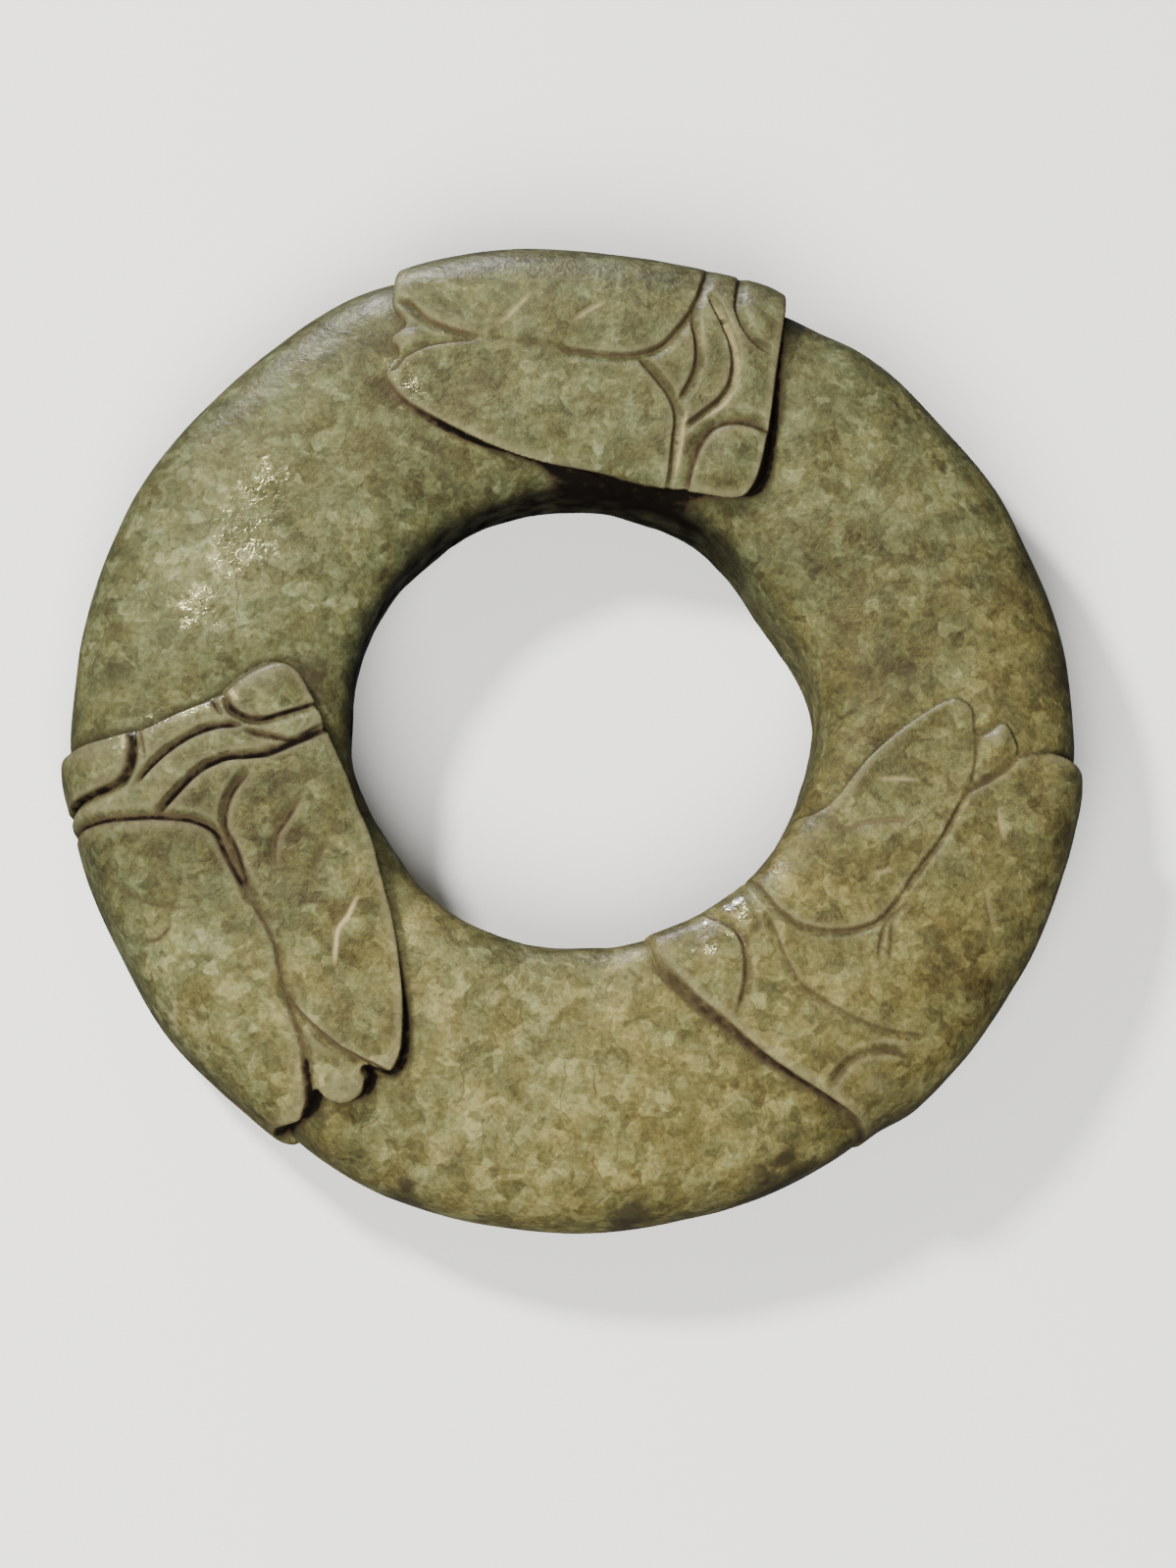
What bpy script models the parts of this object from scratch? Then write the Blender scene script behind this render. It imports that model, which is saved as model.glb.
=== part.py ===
"""A thick jade ring with three cicadas in relief, which crawl clockwise round its upper face.

One piece of stone. The maker turned a thick round blank, left its skin standing inside the outlines of
the three insects, ground the band between them down to a rounder section, and then cut their details.
The ring lies on its flat underside, at z = 0, with the middle of its bounding box over the origin.
"""

import math
from collections import namedtuple

import bpy
import numpy as np

MM = 0.001

# The ring
OUTER_RADIUS = 50.0 * MM
HOLE_RADIUS = 23.2 * MM
HOLE_SHIFT_X = 0.2 * MM  # the hole was drilled a little off the middle
HOLE_SHIFT_Y = 0.5 * MM
WIDEST_HEIGHT = 8.0 * MM  # where the rim stands out furthest
CROWN_HEIGHT = 16.6 * MM  # the top of the ground band
UNDERSIDE_ROUNDING = 9.5 * MM  # how deep the section would reach below its widest place, were it not cut flat
RIM_SQUARENESS = 2.7  # 2 gives an elliptical section, more gives a squarer one
HOLE_SQUARENESS = 4.2  # the wall of the hole is nearly upright, as the drill left it

# The skin of the blank, which the insects keep
SKIN_ABOVE_BAND = 1.6 * MM
SKIN_OUTSIDE_BAND = 1.3 * MM
SKIN_RIM_SQUARENESS = 0.6  # how much squarer the blank is than the band, at the rim and at the hole
SKIN_HOLE_SQUARENESS = 3.2
EDGE_WIDTH = 1.0 * MM  # over which an insect's edge rises from the band
MOAT_DEPTH = 0.35 * MM  # the band is ground deeper close to an insect
MOAT_WIDTH = 2.6 * MM

# The insects. Their shapes are drawn in hundredths of the body length, x towards the head and y
# towards the rim, from the middle of the body.
BODY_LENGTH = 40.0 * MM
CUT_DEPTH = 0.55 * MM
CUT_HALF_WIDTH = 0.85 * MM
CUT_RUN_OUT = 0.12  # share of a cut's length over which it rises to the surface at each end
EYE_HEIGHT = 0.45 * MM
TAIL_HEIGHT = 0.5 * MM

# The mesh that the modifiers start from, and what is left of it
STEPS_ROUND = 760
STEPS_OVER = 200
FACES_KEPT = 9800

JADE_COLOUR = (0.28, 0.26, 0.14, 1.0)
JADE_ROUGHNESS = 0.35

# A cut is a shallow groove: its points, and its depth and width as shares of the usual ones.
Cut = namedtuple("Cut", "points depth width", defaults=(1.0, 1.0))
# A boss is a low dome: its middle, its half length and half width, and its height in metres.
Boss = namedtuple("Boss", "middle half_sizes height")
# An insect lies at an angle round the ring, so far out from the middle of the band, and heads one way.
# The shares say how much of the blank's skin it keeps at its two ends.
Insect = namedtuple("Insect", "name at_angle out_from_middle heading head_share tail_share outline cuts bosses")

TOP_INSECT = Insect(
    name="top",
    at_angle=91.2,
    out_from_middle=-0.9 * MM,
    heading=-10.6,
    head_share=1.0,
    tail_share=0.6,
    outline=[
        (48, 60), (49, 34), (50, 9), (50, -8), (49, -22), (46, -27), (34, -27.5), (10, -27), (-3, -28),
        (-15, -26.5), (-28, -23), (-36, -19), (-43, -15), (-48, -9), (-45, -4), (-49, 0), (-46, 5),
        (-51, 11), (-47, 22), (-36, 34), (0, 60),
    ],
    cuts=[
        Cut([(-25, 4), (-13, 4), (0, 4)], 0.35, 1.2),
        Cut([(-50, 13), (-44, 11), (-37, 6), (-25, 4)], 0.9),
        Cut([(-46, -6), (-41, -2), (-34, 1), (-25, 4)], 0.6),
        Cut([(0, 4), (7, 5), (14, 6), (20, 11), (24, 19), (26, 27), (27, 36)], 1.0, 1.2),
        Cut([(15, 4), (20, 0), (24, -5), (26, -11), (27, -28)], 0.9, 1.1),
        Cut([(26, 27), (26, 19), (28.5, 12), (28.5, 4), (26, -4)], 0.9),
        Cut([(28, 27), (33, 19), (37, 11), (37.5, 3), (33, -6), (28, -11)], 1.0),
        Cut([(36, 44), (36, 25), (39, 18), (43, 15)], 0.8),
        Cut([(32, -28), (32.5, -19), (34, -12), (38, -8), (44, -6), (52, -8)], 1.2, 1.1),
    ],
    bosses=[
        Boss((43, 27), (8, 12), EYE_HEIGHT),
        Boss((42, -17), (9, 10), EYE_HEIGHT),
        Boss((-44, 0), (5, 4), TAIL_HEIGHT),
    ],
)
LEFT_INSECT = Insect(
    name="left",
    at_angle=-145.8,
    out_from_middle=1.7 * MM,
    heading=112.7,
    head_share=0.8,
    tail_share=1.0,
    outline=[
        (59, 60), (59, 28), (57, 21), (55, 14), (57, 6), (56, -8), (57, -20), (55, -32), (44, -33.5),
        (27, -35), (6, -34), (-10, -31.5), (-24, -27.5), (-36, -22), (-44, -17.5), (-48, -12.5), (-45.5, -7),
        (-50.5, -6.5), (-52.5, -3), (-50, 1), (-46, 5), (-49.5, 8.5), (-51, 12), (-49, 20), (-40, 34), (0, 60),
    ],
    cuts=[
        Cut([(58, 14), (52, 15), (47, 17.5), (44.5, 22), (45, 28), (48, 42)], 1.3),
        Cut([(59, -7), (54, -12), (48, -16), (45, -21), (44.5, -28), (44, -36)], 1.2),
        Cut([(57, 10), (52, 12), (47, 13)], 0.5),
        Cut([(42.5, 17), (45.5, 11), (48, 3.5), (49, -3), (48, -9), (46, -14)], 1.2),
        Cut([(41, -19), (38, -24), (38.5, -33)], 0.9),
        Cut([(33.5, 15.5), (37, 10), (39.5, 4), (40.5, -3), (39, -11), (37, -17), (37.5, -24), (37, -33)], 1.3),
        Cut([(31, 10.5), (27.5, 5.5), (23, 1)], 1.1),
        Cut([(34.5, -10.5), (31.5, -6), (27.5, -2), (23, 1), (15, 1.5), (6, 1.8)], 1.2, 1.2),
        Cut([(6, 1.8), (-6, 0.6), (-19, 1.6), (-30, 3), (-41, 6), (-48, 7)], 0.9),
        Cut([(-10, 0.5), (-20, 1), (-30, -2), (-40, -7), (-49, -13)], 1.1),
        Cut([(40, 36), (37.5, 28), (33, 18.5), (27, 9), (21, 5), (9, 2.3)], 1.0, 1.1),
        Cut([(25, -20.5), (20.5, -15.8), (15, -10), (9, -7)], 0.5, 1.3),
    ],
    bosses=[
        Boss((52, 24), (8, 9), EYE_HEIGHT),
        Boss((51, -23), (7, 11), EYE_HEIGHT),
        Boss((-47, -2), (5, 5), TAIL_HEIGHT),
    ],
)
RIGHT_INSECT = Insect(
    name="right",
    at_angle=-30.0,
    out_from_middle=-0.7 * MM,
    heading=-125.6,
    head_share=0.75,
    tail_share=0.55,
    outline=[
        (51, 60), (52, 28), (53.5, 8), (53.5, -4), (51.5, -17), (50, -30), (44, -42), (10, -42), (-4, -32),
        (-26, -29), (-40, -23.5), (-50, -17), (-50, -12), (-45, -8), (-47, -4.5), (-53.5, -2), (-51, 4),
        (-48, 6.5), (-53, 10), (-58, 17), (-57, 30), (-40, 60),
    ],
    cuts=[
        Cut([(31, -40), (32, -28), (36, -22.5), (41, -19), (48, -16)], 1.1, 1.1),
        Cut([(23.5, -26), (27, -19.5), (31, -13), (33.5, -6), (33.5, 2), (32, 12), (28.5, 22), (24, 29)], 0.9),
        Cut([(52, 15), (46, 15), (40.5, 16), (36, 19.5), (32, 26)], 1.1, 1.1),
        Cut([(17.5, -31), (21, -24), (21, -16), (18, -9), (12, -3), (4, -0.3), (-3, -0.3)], 1.2, 1.1),
        Cut([(-1, -0.3), (-10, -0.3), (-20, 0), (-32, -1)], 1.1, 1.1),
        Cut([(-30, -0.8), (-37, 2), (-44, 5), (-50, 7), (-54, 11)], 1.0, 1.1),
        Cut([(-30, -0.8), (-39, -3.5), (-46, -8), (-50, -12), (-51, -17)], 0.8),
        Cut([(-1, 1.8), (7, 1.5), (13, 4), (18, 7.5)], 0.8),
    ],
    bosses=[
        Boss((42, -27), (9, 8), EYE_HEIGHT),
        Boss((43, 24), (8, 9), EYE_HEIGHT),
        Boss((-49, -1), (5, 4), TAIL_HEIGHT),
    ],
)
INSECTS = (TOP_INSECT, LEFT_INSECT, RIGHT_INSECT)

# Flats and swellings that wear and grinding left: angle and half width in degrees, and how far the
# surface moves away from the ring's axis.
RIM_WEAR = (
    (22, 26, -0.3 * MM),
    (45, 9, -0.35 * MM),
    (60, 4, -0.6 * MM),
    (80, 14, -1.3 * MM),
    (112, 10, 0.6 * MM),
    (160, 20, 0.5 * MM),
    (184, 5, 0.6 * MM),
    (230, 9, -0.5 * MM),
    (250, 20, 0.6 * MM),
    (320, 18, -0.6 * MM),
    (354, 7, 0.5 * MM),
)
HOLE_WEAR = (
    (5, 9, 0.5 * MM),
    (34, 13, -1.2 * MM),
    (85, 32, 0.5 * MM),
    (165, 22, -0.3 * MM),
    (234, 12, 0.5 * MM),
    (262, 36, 0.3 * MM),
    (292, 26, -0.4 * MM),
    (330, 14, -0.3 * MM),
)


def clear_scene():
    for obj in list(bpy.data.objects):
        bpy.data.objects.remove(obj, do_unlink=True)


def smooth_step(value, low, high):
    share = np.clip((value - low) / (high - low), 0.0, 1.0)
    return share * share * (3.0 - 2.0 * share)


def wear(angles, spots):
    """How far each place round the ring moves out, from a list of worn or swollen spots."""
    moved = np.zeros_like(angles)
    for middle, half_width, amount in spots:
        away = (np.degrees(angles) - middle + 180.0) % 360.0 - 180.0
        moved += amount * np.exp(-((away / half_width) ** 2))
    return moved


def reach_of_section(direction, inward, outward, up, down, extra_at_rim=0.0, extra_at_hole=0.0):
    """The distance from a section's middle to its edge, in a direction measured from the outward side."""
    hole_share = smooth_step(-np.cos(direction), -0.3, 0.7) * smooth_step(np.sin(direction), -0.4, 0.0)
    at_rim = RIM_SQUARENESS + extra_at_rim
    at_hole = HOLE_SQUARENESS + extra_at_hole
    squareness = at_rim + (at_hole - at_rim) * hole_share
    across = np.where(np.cos(direction) > 0.0, outward, inward)
    along = np.where(np.sin(direction) > 0.0, up, down)
    shape = np.abs(np.cos(direction) / across) ** squareness + np.abs(np.sin(direction) / along) ** squareness
    return shape ** (-1.0 / squareness)


def section_directions():
    """Directions of evenly spaced points once round the section, from the bottom over the rim and the crown."""
    half_width = (OUTER_RADIUS - HOLE_RADIUS) / 2.0
    fine = np.linspace(-0.5 * math.pi, 1.5 * math.pi, 4001)
    reach = reach_of_section(fine, half_width, half_width, CROWN_HEIGHT - WIDEST_HEIGHT, UNDERSIDE_ROUNDING)
    steps = np.hypot(np.diff(reach * np.cos(fine)), np.diff(reach * np.sin(fine)))
    travel = np.concatenate([[0.0], np.cumsum(steps)])
    return np.interp(np.linspace(0.0, travel[-1], STEPS_OVER, endpoint=False), travel, fine)


def smooth_path(points, closed=False, steps=8):
    """A smooth curve through the points: a centripetal Catmull-Rom spline."""
    points = np.array(points, float)
    if closed:
        points = np.vstack([points[-1], points, points[0], points[1]])
    else:
        points = np.vstack([2 * points[0] - points[1], points, 2 * points[-1] - points[-2]])
    curve = []
    for p0, p1, p2, p3 in zip(points, points[1:], points[2:], points[3:]):
        t1 = math.sqrt(np.linalg.norm(p1 - p0))
        t2 = t1 + math.sqrt(np.linalg.norm(p2 - p1))
        t3 = t2 + math.sqrt(np.linalg.norm(p3 - p2))
        for t in np.linspace(t1, t2, steps, endpoint=False):
            a1 = (t1 - t) / t1 * p0 + t / t1 * p1
            a2 = (t2 - t) / (t2 - t1) * p1 + (t - t1) / (t2 - t1) * p2
            a3 = (t3 - t) / (t3 - t2) * p2 + (t - t2) / (t3 - t2) * p3
            b1 = (t2 - t) / t2 * a1 + t / t2 * a2
            b2 = (t3 - t) / (t3 - t1) * a2 + (t - t1) / (t3 - t1) * a3
            curve.append((t2 - t) / (t2 - t1) * b1 + (t - t1) / (t2 - t1) * b2)
    if not closed:
        curve.append(points[-2])
    return np.array(curve)


def distance_to_path(x, y, path):
    """Each point's distance to a path, and how far along the path its nearest place is, from 0 to 1."""
    lengths = np.linalg.norm(np.diff(path, axis=0), axis=1)
    passed = np.concatenate([[0.0], np.cumsum(lengths)])
    nearest = np.full(x.shape, np.inf)
    place = np.zeros(x.shape)
    for (ax, ay), (bx, by), length, before in zip(path, path[1:], lengths, passed):
        share = np.clip(((x - ax) * (bx - ax) + (y - ay) * (by - ay)) / length**2, 0.0, 1.0)
        away = np.hypot(x - ax - share * (bx - ax), y - ay - share * (by - ay))
        closer = away < nearest
        nearest = np.where(closer, away, nearest)
        place = np.where(closer, (before + share * length) / passed[-1], place)
    return nearest, place


def depth_inside(x, y, outline):
    """Each point's distance to a closed outline, positive inside it."""
    ring = np.vstack([outline, outline[0]])
    inside = np.zeros(x.shape, bool)
    for (ax, ay), (bx, by) in zip(ring, ring[1:]):
        crosses = (ay > y) != (by > y)
        if ay != by:
            inside ^= crosses & (x < (bx - ax) * (y - ay) / (by - ay) + ax)
    away, _ = distance_to_path(x, y, ring)
    return np.where(inside, away, -away)


def own_frame(insect, x, y):
    """Places on the ring as the insect sees them: x towards its head, y towards the rim."""
    place = math.radians(insect.at_angle)
    heading = math.radians(insect.heading)
    from_axis = (OUTER_RADIUS + HOLE_RADIUS) / 2.0 + insect.out_from_middle
    from_middle_x = x - from_axis * math.cos(place)
    from_middle_y = y - from_axis * math.sin(place)
    ahead = from_middle_x * math.cos(heading) + from_middle_y * math.sin(heading)
    rimward = from_middle_y * math.cos(heading) - from_middle_x * math.sin(heading)
    return ahead, rimward


def drawn(points):
    """Points in hundredths of the body length, in metres."""
    return np.array(points, float) * BODY_LENGTH / 100.0


def kept_skin(insect, ahead, rimward):
    """How much of the blank's skin stands at each place, from 0 to 1, and how deep the moat round it is."""
    inside = depth_inside(ahead, rimward, smooth_path(drawn(insect.outline), closed=True))
    below_edge = 1.0 - np.clip(inside / EDGE_WIDTH + 0.1, 0.0, 1.0)
    share = insect.tail_share + (insect.head_share - insect.tail_share) * smooth_step(
        ahead, -BODY_LENGTH / 2.0, BODY_LENGTH / 2.0
    )
    moat = np.where(inside < 0.0, MOAT_DEPTH * np.exp(-((inside / MOAT_WIDTH) ** 2)), 0.0)
    return share * (1.0 - below_edge**2), moat


def cut_depths(insect, ahead, rimward):
    """The depth of the insect's cuts at each place. Where two cross, the deeper one counts."""
    deepest = np.zeros(ahead.shape)
    for cut in insect.cuts:
        path = smooth_path(drawn(cut.points))
        half_width = CUT_HALF_WIDTH * cut.width
        low = path.min(axis=0) - half_width
        high = path.max(axis=0) + half_width
        near = (ahead > low[0]) & (ahead < high[0]) & (rimward > low[1]) & (rimward < high[1])
        away, place = distance_to_path(ahead[near], rimward[near], path)
        run_out = smooth_step(np.minimum(place, 1.0 - place), -CUT_RUN_OUT / 3.0, CUT_RUN_OUT)
        profile = 1.0 - smooth_step(away, 0.0, half_width)
        deepest[near] = np.maximum(deepest[near], CUT_DEPTH * cut.depth * run_out * profile)
    return deepest


def boss_heights(insect, ahead, rimward):
    """The height of the insect's eyes and of the end of its abdomen."""
    height = np.zeros(ahead.shape)
    for boss in insect.bosses:
        middle = drawn(boss.middle)
        half_length, half_width = drawn(boss.half_sizes)
        away = np.hypot((ahead - middle[0]) / half_length, (rimward - middle[1]) / half_width)
        height = np.maximum(height, boss.height * (1.0 - smooth_step(away, 0.0, 1.0)))
    return height


def section_places(angles, directions):
    """The band's and the blank's sections all round the ring, as distances from the axis and heights."""
    toward_shift = np.cos(angles) * HOLE_SHIFT_X + np.sin(angles) * HOLE_SHIFT_Y
    rim = OUTER_RADIUS + wear(angles, RIM_WEAR)
    hole = HOLE_RADIUS + toward_shift + wear(angles, HOLE_WEAR)
    middle = ((rim + hole) / 2.0)[:, None]
    half_width = ((rim - hole) / 2.0)[:, None]
    over = directions[None, :]
    crown = CROWN_HEIGHT - WIDEST_HEIGHT
    band = reach_of_section(over, half_width, half_width, crown, UNDERSIDE_ROUNDING)
    blank = reach_of_section(
        over,
        half_width,
        half_width + SKIN_OUTSIDE_BAND,
        crown + SKIN_ABOVE_BAND,
        UNDERSIDE_ROUNDING,
        SKIN_RIM_SQUARENESS,
        SKIN_HOLE_SQUARENESS,
    )
    # Below its widest place the blank runs back into the band, so that the underside is round and plain.
    blank = band + (blank - band) * smooth_step(np.sin(over), -0.75, -0.05)
    return middle, over, band, blank


def carved_surface(angles, directions):
    """The whole carved surface: one row of points for each angle round the ring."""
    middle, over, band, blank = section_places(angles, directions)
    blank_radius = middle + blank * np.cos(over)
    x = blank_radius * np.cos(angles)[:, None]
    y = blank_radius * np.sin(angles)[:, None]
    skin = np.zeros(band.shape)
    moat = np.zeros(band.shape)
    carving = np.zeros(band.shape)
    for insect in INSECTS:
        ahead, rimward = own_frame(insect, x, y)
        insect_skin, insect_moat = kept_skin(insect, ahead, rimward)
        raised = boss_heights(insect, ahead, rimward) - cut_depths(insect, ahead, rimward)
        carving += np.where(insect_skin > 0.0, raised, 0.0)
        skin = np.maximum(skin, insect_skin)
        moat = np.maximum(moat, insect_moat)
    # The carving ends below the rim's widest place, and at the top of the hole's wall.
    hole_side = smooth_step(-np.cos(over), 0.3, 0.8)
    upper = smooth_step(np.sin(over) - 0.6 * hole_side, -0.4, 0.1)
    reach = band - moat * upper + (blank - band) * skin + carving * upper
    radius = middle + reach * np.cos(over)
    height = WIDEST_HEIGHT + reach * np.sin(over)
    return np.stack([radius * np.cos(angles)[:, None], radius * np.sin(angles)[:, None], height], axis=-1)


def closed_grid_faces(rows, columns):
    """Four-sided faces of a grid that closes on itself both ways."""
    index = np.arange(rows * columns).reshape(rows, columns)
    right = np.roll(index, -1, axis=1)
    next_row = np.roll(index, -1, axis=0)
    diagonal = np.roll(next_row, -1, axis=1)
    return np.stack([index, next_row, diagonal, right], axis=-1).reshape(-1, 4)


def jade_material():
    material = bpy.data.materials.new("jade")
    material.use_nodes = True
    shader = material.node_tree.nodes["Principled BSDF"]
    shader.inputs["Base Color"].default_value = JADE_COLOUR
    shader.inputs["Roughness"].default_value = JADE_ROUGHNESS
    shader.inputs["Metallic"].default_value = 0.0
    return material


def add_ground_cutter():
    """A block below z = 0, which grinds the underside flat."""
    half = 1.5 * OUTER_RADIUS
    corners = [(x, y, z) for z in (-half, 0.0) for x, y in ((-half, -half), (half, -half), (half, half), (-half, half))]
    sides = [(3, 2, 1, 0), (4, 5, 6, 7), (0, 1, 5, 4), (1, 2, 6, 5), (2, 3, 7, 6), (3, 0, 4, 7)]
    mesh = bpy.data.meshes.new("ground_cutter")
    mesh.from_pydata(corners, [], sides)
    cutter = bpy.data.objects.new("ground_cutter", mesh)
    bpy.context.scene.collection.objects.link(cutter)
    cutter.hide_render = True
    cutter.display_type = "WIRE"
    return cutter


def add_jade_ring():
    angles = np.linspace(0.0, 2.0 * math.pi, STEPS_ROUND, endpoint=False)
    points = carved_surface(angles, section_directions())
    rows, columns = points.shape[:2]
    points = points.reshape(-1, 3)
    points[:, :2] -= (points[:, :2].min(axis=0) + points[:, :2].max(axis=0)) / 2.0
    mesh = bpy.data.meshes.new("jade_ring")
    mesh.from_pydata(points.tolist(), [], closed_grid_faces(rows, columns).tolist())
    mesh.materials.append(jade_material())
    mesh.shade_smooth()
    ring = bpy.data.objects.new("jade_ring", mesh)
    bpy.context.scene.collection.objects.link(ring)
    thin_out = ring.modifiers.new("thin out", "DECIMATE")
    thin_out.ratio = FACES_KEPT / (2.0 * rows * columns)
    grind_flat = ring.modifiers.new("grind flat", "BOOLEAN")
    grind_flat.operation = "DIFFERENCE"
    grind_flat.solver = "EXACT"
    grind_flat.object = add_ground_cutter()
    return ring


clear_scene()
add_jade_ring()
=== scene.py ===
# %% [markdown]
# # A thick jade ring with three crawling cicadas
#
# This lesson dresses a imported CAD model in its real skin. The real thing is one old stone: a thick
# ring, round at the rim and nearly upright in the hole, with three cicadas that its maker left
# standing when the band between them was ground down. Soil has stayed in the cuts, the stone is
# mottled, and long handling has polished it to a waxy gloss.
#
# The CAD solid already has the outline and the main carving. Here the same ring is made again, with
# a much finer skin, so that each cut has its steep side and its slanting side. The steps are: a plain
# blank from a node tree, the carving, the thinning of the mesh, and then the stone itself.

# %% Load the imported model
import math
from collections import namedtuple

import bpy
import numpy as np
from mathutils import Matrix, Vector


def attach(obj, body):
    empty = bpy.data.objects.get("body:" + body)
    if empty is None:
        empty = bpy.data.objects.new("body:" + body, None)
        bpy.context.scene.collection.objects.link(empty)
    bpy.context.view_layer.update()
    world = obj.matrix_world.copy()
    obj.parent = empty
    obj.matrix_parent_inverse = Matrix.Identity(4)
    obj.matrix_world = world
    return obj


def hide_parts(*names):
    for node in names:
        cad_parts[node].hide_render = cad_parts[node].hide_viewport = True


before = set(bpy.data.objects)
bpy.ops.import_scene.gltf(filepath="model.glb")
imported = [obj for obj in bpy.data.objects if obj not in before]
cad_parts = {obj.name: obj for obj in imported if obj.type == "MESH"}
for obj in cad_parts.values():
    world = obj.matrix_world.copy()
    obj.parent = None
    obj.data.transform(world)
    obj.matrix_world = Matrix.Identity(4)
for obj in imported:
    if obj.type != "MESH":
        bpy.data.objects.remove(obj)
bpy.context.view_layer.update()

MM = 0.001

# %% [markdown]
# ## The camera
#
# The photo looks down on the ring from 74.5 degrees above the table, and the viewer stands a little
# to the left of its lower edge. A camera has three directions: one to its right, one up, and one
# that points back at the photographer. Once the direction back is known, the other two follow, since
# the ring's +Y is straight up in the picture. They make the columns of the camera's matrix.

# %% Place the camera where the photographer stood
LOOK_DOWN = math.radians(74.5)
STANDS_LEFT = math.radians(18.0)
DISTANCE = 600.0 * MM
LENS = 137.8  # millimetres, on a 36 mm sensor
AIM_AT = Vector((1.43 * MM, -5.06 * MM, 8.0 * MM))


def add_camera():
    back = Vector((
        -math.sin(STANDS_LEFT) * math.cos(LOOK_DOWN),
        -math.cos(STANDS_LEFT) * math.cos(LOOK_DOWN),
        math.sin(LOOK_DOWN),
    ))
    across_y = Vector((0.0, 1.0, 0.0))
    up = (across_y - across_y.dot(back) * back).normalized()
    right = up.cross(back)
    camera = bpy.data.objects.new("camera", bpy.data.cameras.new("camera"))
    camera.data.lens = LENS
    camera.data.clip_start = 0.01
    camera.matrix_world = Matrix.Translation(AIM_AT + DISTANCE * back) @ Matrix((right, up, back)).transposed().to_4x4()
    bpy.context.scene.collection.objects.link(camera)
    bpy.context.scene.camera = camera
    return camera


camera = add_camera()
print("the camera stands at", [round(1000.0 * value) for value in camera.location], "mm")

# %% [markdown]
# ## The table and the lights
#
# A carving this low only shows when light rakes across it. The photo's light comes from the upper
# left: every edge that faces it is pale, and the far side of each step is almost black. So a small
# key lamp hangs at the upper left, a broad front lamp opens the shadows, and a pale world fills the
# rest. These leave no mirror image in the stone. The photo's few small sparkles come from three more
# lamps, which light nothing and are only seen reflected, each where polished stone faces it. The
# table is a wide pale sheet under the ring.

# %% Lay the table and hang the lamps
TABLE_WIDTH = 4.0


def add_table():
    half = TABLE_WIDTH / 2.0
    mesh = bpy.data.meshes.new("table")
    mesh.from_pydata([(-half, -half, 0), (half, -half, 0), (half, half, 0), (-half, half, 0)], [], [(0, 1, 2, 3)])
    material = bpy.data.materials.new("pale table")
    material.use_nodes = True
    shader = material.node_tree.nodes["Principled BSDF"]
    shader.inputs["Base Color"].default_value = (0.86, 0.86, 0.85, 1.0)
    shader.inputs["Roughness"].default_value = 0.9
    mesh.materials.append(material)
    table = bpy.data.objects.new("table", mesh)
    table.location.z = -0.1 * MM
    table.visible_glossy = False  # the photo has no pale table to be mirrored in the stone
    table.visible_diffuse = False
    bpy.context.scene.collection.objects.link(table)


def add_lamp(name, place, size, power, color, only_glints=False):
    lamp = bpy.data.objects.new(name, bpy.data.lights.new(name, "AREA"))
    lamp.data.shape = "DISK"
    lamp.data.size = size
    lamp.data.energy = power
    lamp.data.color = color
    lamp.location = place
    lamp.rotation_euler = (-Vector(place)).to_track_quat("-Z", "Y").to_euler()
    lamp.visible_glossy = only_glints
    lamp.visible_diffuse = not only_glints
    bpy.context.scene.collection.objects.link(lamp)
    print(name, "hangs", round(Vector(place).length, 2), "m away")


add_table()
add_lamp("key lamp", (-0.50, 0.38, 0.62), 0.12, 14.0, (1.0, 0.98, 0.94))
add_lamp("front lamp", (-0.15, -0.62, 0.84), 0.70, 23.0, (1.0, 0.99, 0.96))
add_lamp("left glint lamp", (-0.22, 0.33, 0.70), 0.08, 4.4, (1.0, 0.91, 0.48), True)
add_lamp("far glint lamp", (-0.06, 0.46, 0.66), 0.08, 4.2, (1.0, 0.91, 0.48), True)
add_lamp("low glint lamp", (-0.20, 0.82, 0.14), 0.25, 18.0, (1.0, 0.98, 0.94), True)
world = bpy.data.worlds.new("pale room")
world.use_nodes = True
world.node_tree.nodes["Background"].inputs["Color"].default_value = (0.95, 0.97, 1.0, 1.0)
world.node_tree.nodes["Background"].inputs["Strength"].default_value = 0.16
bpy.context.scene.world = world

# %% [markdown]
# ## The blank
#
# The maker began with a round blank, and so does this lesson. Its shape follows a rule: one rounded
# section swept round a circle. That is work for Geometry Nodes, because the sizes stay live inputs.
# The section starts as a unit circle, and each of its points is pushed out or in until it lies on a
# superellipse, which is an ellipse whose power is a size too: 2 is round, and more is squarer. The
# power is higher towards the hole, where the drill left a steep wall.
#
# A tree is easier to read when small helpers make its nodes, so those come first.

# %% Helpers that build a node tree


def new_node(tree, kind, settings=None, **inputs):
    """Add a node. Inputs are numbers or sockets, by the input's name with _ for spaces, or i0, i1 by place."""
    node = tree.nodes.new(kind)
    for key, value in (settings or {}).items():
        setattr(node, key, value)
    for key, value in inputs.items():
        by_place = key[0] == "i" and key[1:].isdigit()
        socket = node.inputs[int(key[1:]) if by_place else key.replace("_", " ")]
        if isinstance(value, bpy.types.NodeSocket):
            tree.links.new(value, socket)
        else:
            socket.default_value = value
    return node


def do_sum(tree, operation, first, second=0.0, third=0.0):
    """One step of arithmetic, as a Math node's output."""
    return new_node(tree, "ShaderNodeMath", {"operation": operation}, i0=first, i1=second, i2=third).outputs[0]


def times(tree, first, second):
    return do_sum(tree, "MULTIPLY", first, second)


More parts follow.
